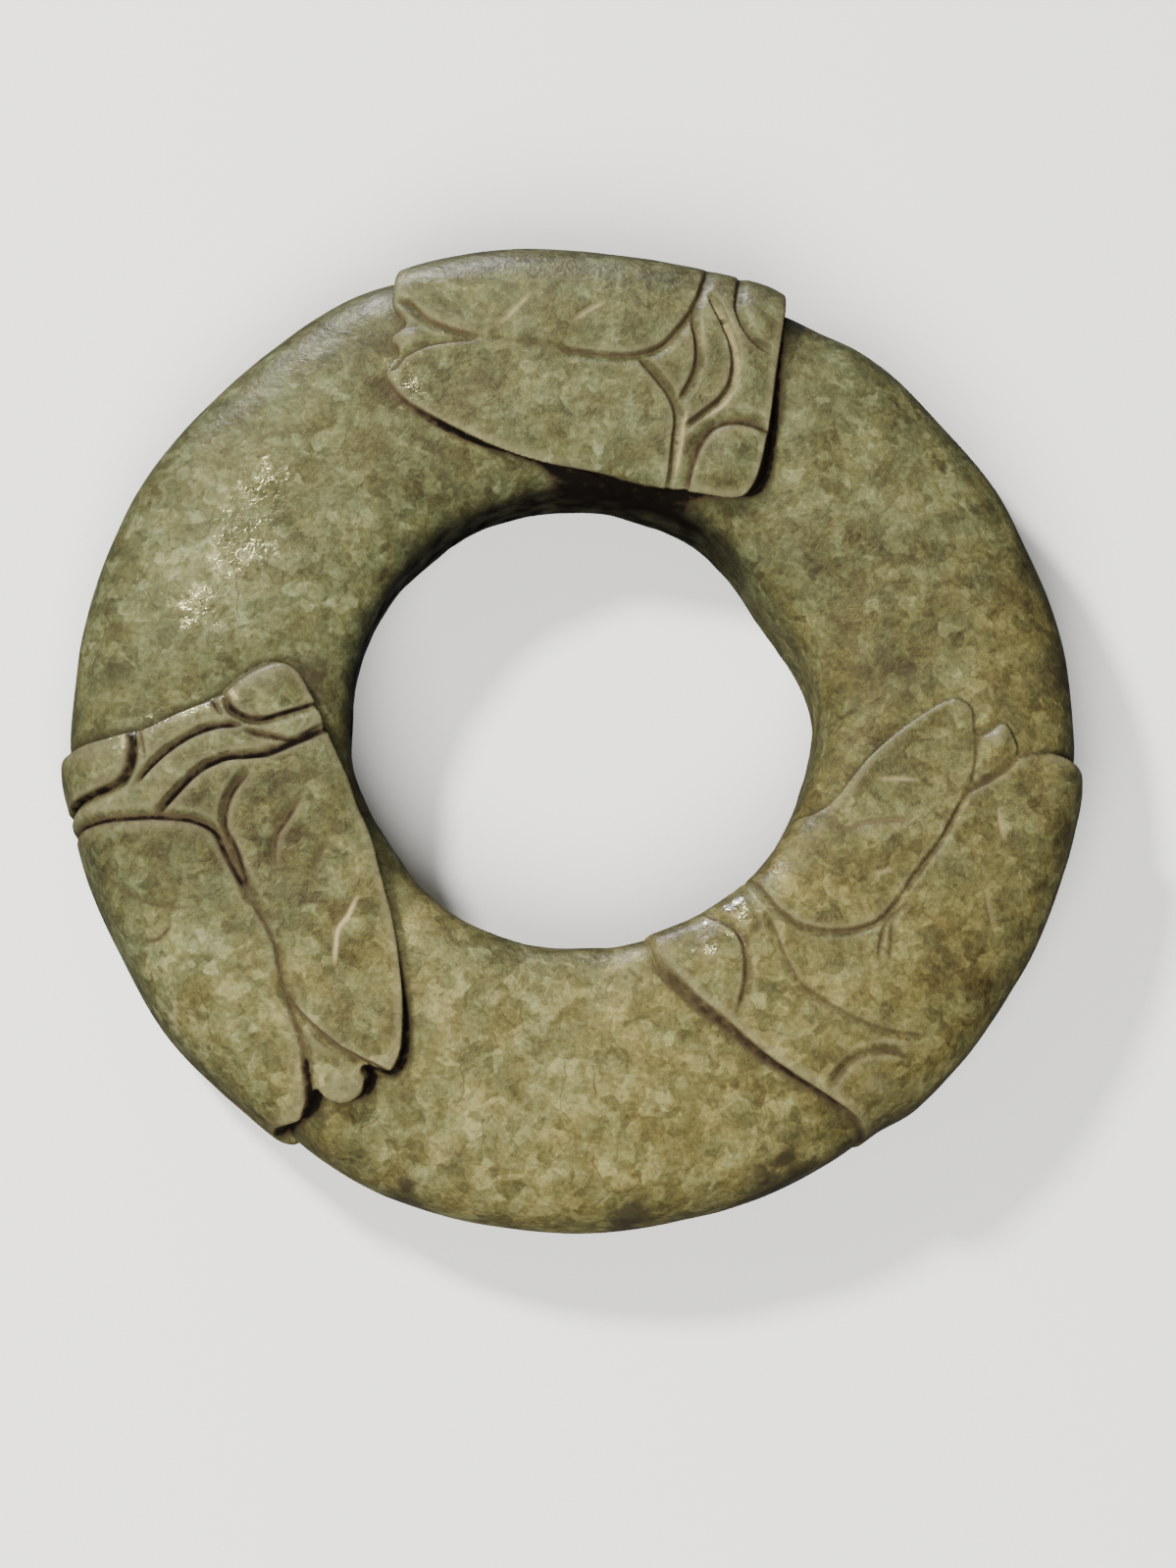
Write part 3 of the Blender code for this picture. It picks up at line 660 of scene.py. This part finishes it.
def kept_skin(insect, ahead, rimward, inside):
    """The share of the old skin that stands, how deep the band is ground beside it, and how high the step is."""
    below_edge = 1.0 - np.clip(inside / EDGE_WIDTH + 0.15, 0.0, 1.0)
    within = np.maximum(inside, 0.0)
    sunk = EDGE_SOFTNESS * np.exp(-within / SOFT_WIDTH)
    share = insect.tail_share + (insect.head_share - insect.tail_share) * smooth_step(ahead, -20.0 * MM, 20.0 * MM)
    far_back = smooth_step(-ahead, 4.0 * MM, 16.0 * MM)
    off_the_rim = 1.0 - smooth_step(rimward, 4.0 * MM, 8.0 * MM)
    share -= insect.tail_drop * far_back * off_the_rim
    far_ahead = smooth_step(ahead, 14.0 * MM, 19.0 * MM)
    on_the_rim = smooth_step(rimward, 8.0 * MM, 13.0 * MM)
    share -= insect.rim_drop * far_ahead * on_the_rim
    ground = MOAT_DEPTH * np.exp(-((inside / MOAT_WIDTH) ** 2)) + FOOT_DEPTH * np.exp(-np.abs(inside) / FOOT_WIDTH)
    ground = np.where(inside < 0.0, ground, 0.0) * (0.2 + 0.8 * share)
    return share * (1.0 - below_edge**2.5) * (1.0 - sunk), ground, share


def cut_lines(insect, ahead, rimward):
    """The depth of the insect's cuts, the soil and painted shade in them, and the paleness of pale lines and painted
    highlights at each place.
    """
    deepest = np.zeros(ahead.shape)
    soil = np.zeros(ahead.shape)
    pale = np.zeros(ahead.shape)
    for cut in insect.cuts:
        path = smooth_path(cut.points)
        reach = max(cut.left, cut.right) * MM
        low, high = path.min(axis=0) - reach, path.max(axis=0) + reach
        near = (ahead > low[0]) & (ahead < high[0]) & (rimward > low[1]) & (rimward < high[1])
        away, place, left = distance_to_path(ahead[near], rimward[near], path)
        length = np.linalg.norm(np.diff(path, axis=0), axis=1).sum()
        from_end = np.minimum(place, 1.0 - place) * length
        run_out = smooth_step(from_end, -0.3 * RUN_OUT, min(RUN_OUT, 0.4 * length))
        half_width = np.where(left, cut.left, cut.right) * MM
        profile = np.clip(1.0 - away / half_width, 0.0, 1.0)
        deepest[near] = np.maximum(deepest[near], cut.depth * MM * run_out * profile)
        soil_and_shade_width = (0.1 + 0.3 * min(cut.left, cut.right) + 0.2 * cut.soil) * MM
        soil[near] = np.maximum(soil[near], cut.soil * run_out * np.exp(-((away / soil_and_shade_width) ** 2)))
        pale[near] = np.maximum(pale[near], cut.pale * run_out * np.exp(-((away / (0.2 * MM)) ** 2)))
    return deepest, soil, pale


def boss_heights(insect, ahead, rimward):
    height = np.zeros(ahead.shape)
    for boss in insect.bosses:
        across_x = (ahead - boss.middle[0] * MM) / (boss.half_sizes[0] * MM)
        across_y = (rimward - boss.middle[1] * MM) / (boss.half_sizes[1] * MM)
        height = np.maximum(height, boss.height * (1.0 - smooth_step(np.hypot(across_x, across_y), 0.0, 1.0)))
    return height


def shade_and_soil_at_step(insect, inside, shaded, share):
    """Painted shade and soil along the foot of an insect's step, and up its wall where that faces away from the light.
    """
    on_foot = np.exp(-(((np.minimum(inside, 0.0) + FOOT_SHADE_AND_SOIL_OFFSET) / FOOT_SHADE_AND_SOIL_WIDTH) ** 2))
    on_foot = on_foot * (1.0 - smooth_step(inside, 0.1 * MM, 0.35 * MM))
    on_wall = smooth_step(inside, -1.0 * MM, -0.3 * MM) * (1.0 - smooth_step(inside, 0.25 * MM, 0.5 * MM))
    held = 0.1 + 0.9 * np.maximum(share, 0.75 * insect.wall_soil)
    foot_shade_and_soil = 0.95 * on_foot * smooth_step(shaded, -0.6, 0.4) * held
    return np.maximum(foot_shade_and_soil, insect.wall_soil * on_wall * smooth_step(shaded, 0.1, 0.45))


# %% Carve the blank
AROUND_INSECT = 32.0 * MM  # nothing that belongs to an insect lies further from its middle
TOWARD_LIGHT = math.radians(126.0)
LIGHT_STEP = 0.4 * MM  # how far the second place lies nearer the light


def carve(x, y):
    """Everything that the carving says at places seen from above."""
    skin = np.zeros(x.shape)
    ground = np.zeros(x.shape)
    raised = np.zeros(x.shape)
    soil = np.zeros(x.shape)
    pale = np.zeros(x.shape)
    for insect in INSECTS:
        ahead, rimward = own_frame(insect, x, y)
        near = np.hypot(ahead, rimward) < AROUND_INSECT
        ahead, rimward = ahead[near], rimward[near]
        outline = smooth_path(insect.outline, closed=True)
        inside = depth_inside(ahead, rimward, outline)
        turn = TOWARD_LIGHT - math.radians(insect.heading)
        nearer_light = depth_inside(ahead + LIGHT_STEP * math.cos(turn), rimward + LIGHT_STEP * math.sin(turn), outline)
        shaded = (nearer_light - inside) / LIGHT_STEP
        insect_skin, insect_ground, share = kept_skin(insect, ahead, rimward, inside)
        depth, cut_soil_and_shade, cut_pale_and_highlight = cut_lines(insect, ahead, rimward)
        on_insect = smooth_step(inside, -0.1 * MM, 0.3 * MM)
        raised[near] += on_insect * (boss_heights(insect, ahead, rimward) - depth)
        skin[near] = np.maximum(skin[near], insect_skin)
        ground[near] = np.maximum(ground[near], insect_ground)
        # Painted shade and soil along each step, darkest on the side that faces away from the light.
        step_shade_and_soil = shade_and_soil_at_step(insect, inside, shaded, share)
        soil[near] = np.maximum(soil[near], np.maximum(on_insect * cut_soil_and_shade, step_shade_and_soil))
        pale[near] = np.maximum(pale[near], on_insect * cut_pale_and_highlight)
    return skin, ground, raised, soil, pale


skin_share, ground_depth, raised_height, soil, pale = carve(plan_x, plan_y)
hole_side = smooth_step(-np.cos(over), 0.3, 0.8)
upper = smooth_step(np.sin(over) - 0.6 * hole_side, -0.4, 0.1)
reach = band_reach - ground_depth * upper + (skin_reach - band_reach) * skin_share + raised_height * upper
relief = (reach - band_reach) * upper
# Soil and painted shade reach further down the wall of the hole than the carving does.
soil *= smooth_step(np.sin(over) - 0.25 * hole_side, -0.4, 0.1)
print("the cuts go down to", round(-1000.0 * (raised_height * upper).min(), 2), "mm")

# %% [markdown]
# ## An uneven surface
#
# A stone that was ground by hand isn't even. The points of a ring make a grid without any edges,
# because it goes round both ways, so a Fourier transform can blur it without seams. Blurring noise
# gives a gentle unevenness. Taking the blurred relief away from the relief itself finds the edges,
# which stand above their surroundings, and the hollows, which lie below them. Hands wear the edges
# pale, and soil stays in the hollows.

# %% Make the surface uneven, and find its edges and hollows
GRID = (POINTS_ROUND, POINTS_OVER)
STEP_ROUND = math.tau * track_radius / POINTS_ROUND
STEP_OVER = 80.0 * MM / POINTS_OVER
# Size and height of the unevenness, coarse and fine.
UNEVENNESS = ((2.6 * MM, 0.10 * MM), (0.9 * MM, 0.02 * MM))
EDGE_BLUR = 0.55 * MM


def blurred(grid, spread):
    """The grid of the ring's points, with each value averaged over a distance in metres."""
    waves_round = np.fft.fftfreq(GRID[0])[:, None] * spread / STEP_ROUND
    waves_over = np.fft.rfftfreq(GRID[1])[None, :] * spread / STEP_OVER
    soft = np.exp(-2.0 * math.pi**2 * (waves_round**2 + waves_over**2))
    return np.fft.irfft2(np.fft.rfft2(grid) * soft, s=GRID)


chance = np.random.default_rng(7)
for size, height in UNEVENNESS:
    bumps = blurred(chance.standard_normal(GRID), size)
    reach = reach + (height * bumps / bumps.std()).ravel() * smooth_step(np.sin(over), -0.9, -0.5)
relief = relief.reshape(GRID)
standing = (relief - blurred(relief, EDGE_BLUR)).ravel()
edge = smooth_step(standing, 0.02 * MM, 0.14 * MM)
hollow = smooth_step(-standing, 0.02 * MM, 0.16 * MM)

radius = section_middle + reach * np.cos(over)
carved = np.stack([
    radius * np.cos(angles),
    radius * np.sin(angles),
    np.maximum(WIDEST_HEIGHT + reach * np.sin(over), 0.0),
], axis=-1)
carved[:, :2] -= (carved[:, :2].min(axis=0) + carved[:, :2].max(axis=0)) / 2.0
print("the carved ring measures", np.round(1000.0 * (carved.max(axis=0) - carved.min(axis=0)), 1), "mm")
print("edges cover", round(100.0 * (edge > 0.5).mean(), 1), "% of the skin")
print("hollows cover", round(100.0 * (hollow > 0.5).mean(), 1), "% of it")

# %% [markdown]
# ## Patches on the stone
#
# Some places differ from the rest, and the photo shows where: clouds that are lighter or darker,
# stains where water stood while the stone was buried, and spots that hands have polished brighter.
# Each is a soft round patch with its place, its size and its strength, and a few of the clouds are
# painted light. The material frays them with noise, so none looks round. The wall of the hole and the
# lowest part of the rim get painted shade, darkest on the sides that face away from the light.

# %% Clouds, stains, polished spots and painted shade
# Each patch has its place, x and y from the middle, and its size, all in millimetres, and its strength.
CLOUDS_AND_PAINTED_LIGHT = (
    # Three clouds are painted light: the one at (-36, 14) lightens the band where the highlight falls, and those at
    # (-41, -28) and (10, -47) light the rim at the lower left and at the bottom.
    (-6, -36, 17, 0.13), (-36, 14, 11, 0.11), (-38, -16, 8, -0.12), (-31, -13, 6, -0.18),
    (-25, -24, 6, -0.09), (32, 6, 13, -0.12), (-38, -4, 7, -0.06), (32, -22, 9, -0.08),
    (24, -27, 9, 0.06), (-41, -28, 9, 0.13), (-20, 30, 7, -0.06), (0, 38, 14, -0.09),
    (16, 34, 7, -0.10), (-17, 22, 6, -0.07), (10, -47, 14, 0.08),
)
STAINS = (
    (-46.7, 4.1, 2.6, 0.8), (-27, 3.7, 3.4, 0.9), (28.7, 5.4, 4, 0.6), (32.5, 3.8, 3, 0.5),
    (-16.5, -47.4, 2.5, 0.8), (5.3, -49.5, 2.5, 0.9), (20.6, -45.5, 5, 0.8), (47.8, 5.6, 4, 0.7),
    (-19.4, 32.8, 3.5, 0.7), (-41.5, -18, 2, 0.6), (7.6, 35.8, 3.5, 0.45),
)
POLISHED = (
    (-30.9, 23.2, 3.5, 0.9), (-33.8, 16.7, 4.5, 1), (-38, 9.5, 3.5, 0.9), (-45.2, 11.9, 2.5, 1),
    (-19, 36, 4, 0.4), (-17, 32.5, 2.5, 0.8), (-43.9, -2.5, 1.8, 1), (-41, -1.2, 1.8, 1),
    (-38.1, -0.3, 1.8, 1), (-35, 0.7, 1.8, 1), (-46, -4.3, 1.6, 1), (13.3, -23.2, 3, 1),
    (15.7, -20, 2.2, 1), (19, -15.8, 2.5, 0.7),
)


def patches(places, x, y):
    total = np.zeros(x.shape)
    for patch_x, patch_y, size, strength in places:
        away = np.hypot(x - patch_x * MM, y - patch_y * MM) / (size * MM)
        total += strength * np.exp(-away * away)
    return total


cloud_and_painted_light = patches(CLOUDS_AND_PAINTED_LIGHT, carved[:, 0], carved[:, 1])
stain = patches(STAINS, carved[:, 0], carved[:, 1])
polish = patches(POLISHED, carved[:, 0], carved[:, 1])
toward_upper_left = np.cos(angles - math.radians(125.0))
toward_lower_right = np.cos(angles - math.radians(-30.0))
# Painted shade: the hole's wall is darkest at the upper left and the lowest rim at the lower right, the sides that face
# away from the light.
hole_painted_shade = smooth_step(-np.cos(over), 0.85, 0.97) * (0.1 + 0.9 * smooth_step(toward_upper_left, -0.1, 0.5))
rim_painted_shade = smooth_step(np.cos(over), 0.93, 0.999) * (0.15 + 0.5 * smooth_step(toward_lower_right, 0.4, 0.9))
painted_shade = np.maximum(hole_painted_shade, rim_painted_shade)
print(len(CLOUDS_AND_PAINTED_LIGHT), "clouds,", len(STAINS), "stains and", len(POLISHED), "polished spots")

# %% [markdown]
# ## Thinning the mesh
#
# The sweep gave every part of the ring the same fine grid, but only the carving needs it. Decimate
# removes the points that the surface can spare, and leaves them dense along the cuts. Soil and painted
# shade, worn edges and the other marks are stored on the points first, as attributes, and the thinning
# carries them along.

# %% Store the attributes, thin the mesh and make it the finished piece
TRIANGLES_KEPT = 190000


def store(mesh, name, values):
    mesh.attributes.new(name, "FLOAT", "POINT").data.foreach_set("value", np.asarray(values, np.float32))


blank.vertices.foreach_set("co", carved.astype(np.float32).ravel())
for name, values in (
    ("soil", soil), ("pale", pale * upper), ("edge", edge * upper), ("hollow", hollow * upper),
    ("cloud_and_painted_light", cloud_and_painted_light), ("stain", stain), ("polish", polish), ("painted_shade", painted_shade),
):
    store(blank, name, values)
blank.update()
ring = bpy.data.objects.new("carved_ring", blank)
bpy.context.scene.collection.objects.link(ring)
thin = ring.modifiers.new("thin", "DECIMATE")
thin.ratio = TRIANGLES_KEPT / (2.0 * len(blank.polygons))
thinned = bpy.data.meshes.new_from_object(ring.evaluated_get(bpy.context.evaluated_depsgraph_get()))
ring.modifiers.remove(thin)
ring.data = thinned
thinned.shade_smooth()
print("the finished skin has", len(thinned.polygons), "faces, and stores", [a.name for a in thinned.attributes])

# %% [markdown]
# ## The stone
#
# Nephrite is a felt of tiny fibres, and an old piece has altered in patches. From a step away it is
# olive, greener at the upper left and yellower at the bottom. Closer, it is a patchwork of soft
# flakes one or two millimetres across, and closer still it has a grain. So the stone gets one number
# at each point, its tone, which adds up layers of noise from coarse to fine. Two colour ramps turn
# the tone into a green stone and a yellow stone, and a slow change across the ring mixes the two.

# %% The tone of the stone


def colour(red, green, blue):
    return (red, green, blue, 1.0)


def mix(tree, share, first, second, how="MIX"):
    settings = {"data_type": "RGBA", "blend_type": how}
    return new_node(tree, "ShaderNodeMix", settings, i0=share, i6=first, i7=second).outputs[2]


def ramp(tree, value, stops):
    node = new_node(tree, "ShaderNodeValToRGB", Fac=value)
    node.color_ramp.elements[0].position, node.color_ramp.elements[0].color = stops[0]
    node.color_ramp.elements[1].position, node.color_ramp.elements[1].color = stops[-1]
    for position, tint in stops[1:-1]:
        node.color_ramp.elements.new(position).color = tint
    return node.outputs["Color"]


def noise(tree, at, size, detail=3.0, roughness=0.5, twist=0.0, output="Fac"):
    """Cloudy noise whose blobs are about the given number of millimetres across."""
    node = new_node(
        tree, "ShaderNodeTexNoise", Vector=at, Scale=1.0 / size, Detail=detail, Roughness=roughness, Distortion=twist
    )
    return node.outputs[output]


def flakes(tree, at, size, softness):
    """Cells about the given number of millimetres across, each with its own value."""
    settings = {"feature": "SMOOTH_F1"}
    cells = new_node(tree, "ShaderNodeTexVoronoi", settings, Vector=at, Scale=1.0 / size, Smoothness=softness)
    return new_node(tree, "ShaderNodeSeparateColor", i0=cells.outputs["Color"]).outputs[0]


def vector_sum(tree, operation, first, second, third=(0.0, 0.0, 0.0), output=0):
    """One step of arithmetic on vectors."""
    settings = {"operation": operation}
    return new_node(tree, "ShaderNodeVectorMath", settings, i0=first, i1=second, i2=third).outputs[output]


def stored(tree, name):
    """The value that the carving stored on the skin under this name."""
    return new_node(tree, "ShaderNodeAttribute", {"attribute_name": name}).outputs["Fac"]


def stone_tone(tree, place):
    """One number for how dark or light the stone is, from layers of noise, and the place swayed by noise."""
    sway = noise(tree, place, 1.8, 3.0, 0.6, output="Color")
    swayed = vector_sum(tree, "MULTIPLY_ADD", sway, (1.5, 1.5, 1.5), place)
    # Each layer has its weight, from the coarsest to the finest.
    layers = (
        (noise(tree, place, 11.0, 3.0, 0.5, 0.5), 0.50),
        (noise(tree, place, 4.0, 3.0, 0.6, 0.5), 0.35),
        (flakes(tree, swayed, 2.3, 0.24), 0.24),
        (flakes(tree, swayed, 1.2, 0.18), 0.30),
        (noise(tree, swayed, 0.6, 3.0, 0.7), 0.9),
    )
    tone = 0.5 - 0.5 * sum(weight for layer, weight in layers)
    for layer, weight in layers:
        tone = do_sum(tree, "MULTIPLY_ADD", layer, weight, tone)
    # The clouds add their tone, and a few of them are painted light.
    return do_sum(tree, "ADD", tone, stored(tree, "cloud_and_painted_light")), swayed


# %% The colour of clean stone
GREEN_STONE = (
    (0.05, colour(0.027, 0.023, 0.012)),
    (0.33, colour(0.052, 0.052, 0.023)),
    (0.50, colour(0.074, 0.077, 0.034)),
    (0.66, colour(0.102, 0.108, 0.050)),
    (0.95, colour(0.194, 0.203, 0.106)),
)
YELLOW_STONE = (
    (0.05, colour(0.030, 0.022, 0.009)),
    (0.33, colour(0.060, 0.053, 0.020)),
    (0.50, colour(0.089, 0.079, 0.028)),
    (0.66, colour(0.123, 0.111, 0.042)),
    (0.95, colour(0.215, 0.197, 0.078)),
)
TOWARD_YELLOW = (0.42, -0.66, 0.0)  # down and to the right, as the photo shows it
COOL, WARM = colour(0.97, 1.00, 1.02), colour(1.04, 0.97, 0.91)
FISSURE_TINT = colour(0.045, 0.033, 0.014)


def clean_stone(tree, place, tone, swayed):
    side = vector_sum(tree, "DOT_PRODUCT", place, TOWARD_YELLOW, output="Value")
    side = do_sum(tree, "MULTIPLY_ADD", noise(tree, place, 13.0, 3.0, 0.5), 60.0, side)
    green, yellow = ramp(tree, tone, GREEN_STONE), ramp(tree, tone, YELLOW_STONE)
    body = mix(tree, smooth_between(tree, side, 12.0, 64.0), green, yellow)
    warm = smooth_between(tree, noise(tree, swayed, 3.2, 3.0, 0.6), 0.38, 0.62)
    body = mix(tree, 1.0, body, mix(tree, warm, COOL, WARM), "MULTIPLY")
    # Fissures are the borders between large cells, and show only here and there.
    cells = new_node(tree, "ShaderNodeTexVoronoi", {"feature": "DISTANCE_TO_EDGE"}, Vector=swayed, Scale=0.22)
    fissure = smooth_between(tree, cells.outputs["Distance"], 0.0, 0.035, 1.0, 0.0)
    fissure = times(tree, fissure, smooth_between(tree, noise(tree, place, 5.0, 2.0), 0.46, 0.62))
    return mix(tree, times(tree, fissure, 0.55), body, FISSURE_TINT)


print("each of the two ramps has", len(GREEN_STONE), "tones")

# %% [markdown]
# ## Soil, painted shade, stains and pale lines
#
# Soil and painted shade are darkest along the cut lines and at the foot of each step, so they follow
# the attribute that the carving stored. A noise breaks them up, since soil has fallen out in places,
# and where they lie thick they are nearly black. Stains lie where water stood on the stone while it
# was buried, and a coarse noise frays them. Worn edges are paler than the stone around them, and so
# are the pale lines: pale streaks, and painted highlights on ridges and edges.

# %% What lies on the stone, and the painted shade
STAIN_TINT = colour(0.030, 0.024, 0.013)
WORN_TINT = colour(0.200, 0.180, 0.100)
HOLLOW_TINT = colour(0.040, 0.031, 0.016)
# The soil tints also paint shade: the thick one is nearly black, like deep shade.
THIN_SOIL_AND_SHADE, THICK_SOIL_AND_SHADE = colour(0.047, 0.033, 0.018), colour(0.007, 0.0055, 0.004)
# The pale tint is for pale streaks in the stone and for painted highlights.
PALE_AND_HIGHLIGHT_TINT = colour(0.34, 0.28, 0.14)
# Painted shade on the wall of the hole and the lowest part of the rim.
PAINTED_SHADE_TINT = colour(0.006, 0.005, 0.004)


def soiled_and_shaded_stone(tree, place, body):
    """The stone's colour under all that lies on it and under the painted shade, and how much soil and painted shade
    there is.
    """
    speck = smooth_between(tree, noise(tree, place, 1.5, 4.0, 0.6, 0.4), 0.60, 0.70)
    stain_here = stored(tree, "stain")
    frayed = do_sum(tree, "MULTIPLY_ADD", noise(tree, place, 2.4, 4.0, 0.65, 0.5), 1.6, -0.8)
    frayed = do_sum(tree, "MULTIPLY_ADD", frayed, smooth_between(tree, stain_here, 0.0, 0.3), stain_here)
    frayed = smooth_between(tree, frayed, 0.30, 0.95, 0.0, 0.85)
    body = mix(tree, do_sum(tree, "MAXIMUM", times(tree, speck, 0.5), frayed), body, STAIN_TINT)

    patchy = smooth_between(tree, noise(tree, place, 1.1, 3.0), 0.25, 0.6, 0.68, 1.0)
    body = mix(tree, times(tree, stored(tree, "edge"), times(tree, patchy, 0.33)), body, WORN_TINT)
    body = mix(tree, times(tree, stored(tree, "hollow"), times(tree, patchy, 0.6)), body, HOLLOW_TINT)
    # Soil and painted shade: brown where thin, nearly black where thick.
    soil_and_shade_here = times(tree, stored(tree, "soil"), patchy)
    soil_and_shade_tint = mix(tree, smooth_between(tree, soil_and_shade_here, 0.42, 0.85), THIN_SOIL_AND_SHADE, THICK_SOIL_AND_SHADE)
    body = mix(tree, smooth_between(tree, soil_and_shade_here, 0.0, 0.7), body, soil_and_shade_tint)
    # Pale lines: pale streaks, and painted highlights on ridges and edges.
    body = mix(tree, stored(tree, "pale"), body, PALE_AND_HIGHLIGHT_TINT)
    # Painted shade on the hole's wall and the lowest rim, thinned by a noise.
    thinner = smooth_between(tree, noise(tree, place, 3.0), 0.25, 0.65, 0.75, 1.0)
    painted_shade_here = times(tree, stored(tree, "painted_shade"), thinner)
    return mix(tree, painted_shade_here, body, PAINTED_SHADE_TINT), soil_and_shade_here, painted_shade_here


print("thick soil is", round(sum(THIN_SOIL_AND_SHADE[:3]) / sum(THICK_SOIL_AND_SHADE[:3])), "times darker than thin soil")

# %% [markdown]
# ## Polish
#
# Hands have polished only some spots, and there the polish lies along thin winding lines, where a
# noise crosses its middle value. The rest of the stone is waxy and dull, and soil and painted shade
# are duller still. A low ripple in the surface breaks up the glints.

# %% The finished material


def polish_shader(tree, shader, place, swayed, soil_and_shade_here, painted_shade_here):
    gloss = do_sum(tree, "MULTIPLY_ADD", noise(tree, place, 1.4, 3.0, 0.6, 0.5), 1.6, stored(tree, "polish"))
    gloss = smooth_between(tree, gloss, 1.30, 1.70)
    off_line = do_sum(tree, "SUBTRACT", noise(tree, swayed, 2.0, 1.5, 0.5, 0.8), 0.5)
    off_line = do_sum(tree, "ABSOLUTE", off_line)
    gloss = times(tree, gloss, smooth_between(tree, off_line, 0.03, 0.10, 1.0, 0.25))
    roughness = smooth_between(tree, noise(tree, place, 1.4, 4.0, 0.65), 0.3, 0.7, 0.36, 0.50)
    roughness = do_sum(tree, "MULTIPLY_ADD", gloss, -0.31, roughness)
    roughness = do_sum(tree, "MULTIPLY_ADD", soil_and_shade_here, 0.4, roughness)
    tree.links.new(roughness, shader.inputs["Roughness"])
    dull = do_sum(tree, "SUBTRACT", 1.0, do_sum(tree, "MAXIMUM", painted_shade_here, soil_and_shade_here))
    shine = times(tree, do_sum(tree, "MULTIPLY_ADD", gloss, 0.42, 0.10), dull)
    tree.links.new(shine, shader.inputs["Specular IOR Level"])
    shader.inputs["IOR"].default_value = 1.61

    ripple = do_sum(tree, "ADD", noise(tree, place, 3.0, 2.0, 0.5, 0.5), noise(tree, place, 0.8, 2.0, 0.6, 0.8))
    bump = new_node(tree, "ShaderNodeBump", Strength=1.0, Distance=0.1 * MM, Height=ripple)
    tree.links.new(bump.outputs[0], shader.inputs["Normal"])


def build_jade(material):
    material.use_nodes = True
    tree = material.node_tree
    shader = tree.nodes["Principled BSDF"]
    place = new_node(tree, "ShaderNodeTexCoord").outputs["Object"]
    place = new_node(tree, "ShaderNodeMapping", i0=place, Scale=(1000.0, 1000.0, 1000.0)).outputs[0]  # millimetres
    tone, swayed = stone_tone(tree, place)
    body = clean_stone(tree, place, tone, swayed)
    body, soil_and_shade_here, painted_shade_here = soiled_and_shaded_stone(tree, place, body)
    tree.links.new(body, shader.inputs["Base Color"])
    polish_shader(tree, shader, place, swayed, soil_and_shade_here, painted_shade_here)


build_jade(jade)
print("the jade has", len(jade.node_tree.nodes), "nodes")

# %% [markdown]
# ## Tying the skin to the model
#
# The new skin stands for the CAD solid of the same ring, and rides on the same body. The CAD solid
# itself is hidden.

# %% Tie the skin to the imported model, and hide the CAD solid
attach(ring, "root")
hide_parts("jade_ring")
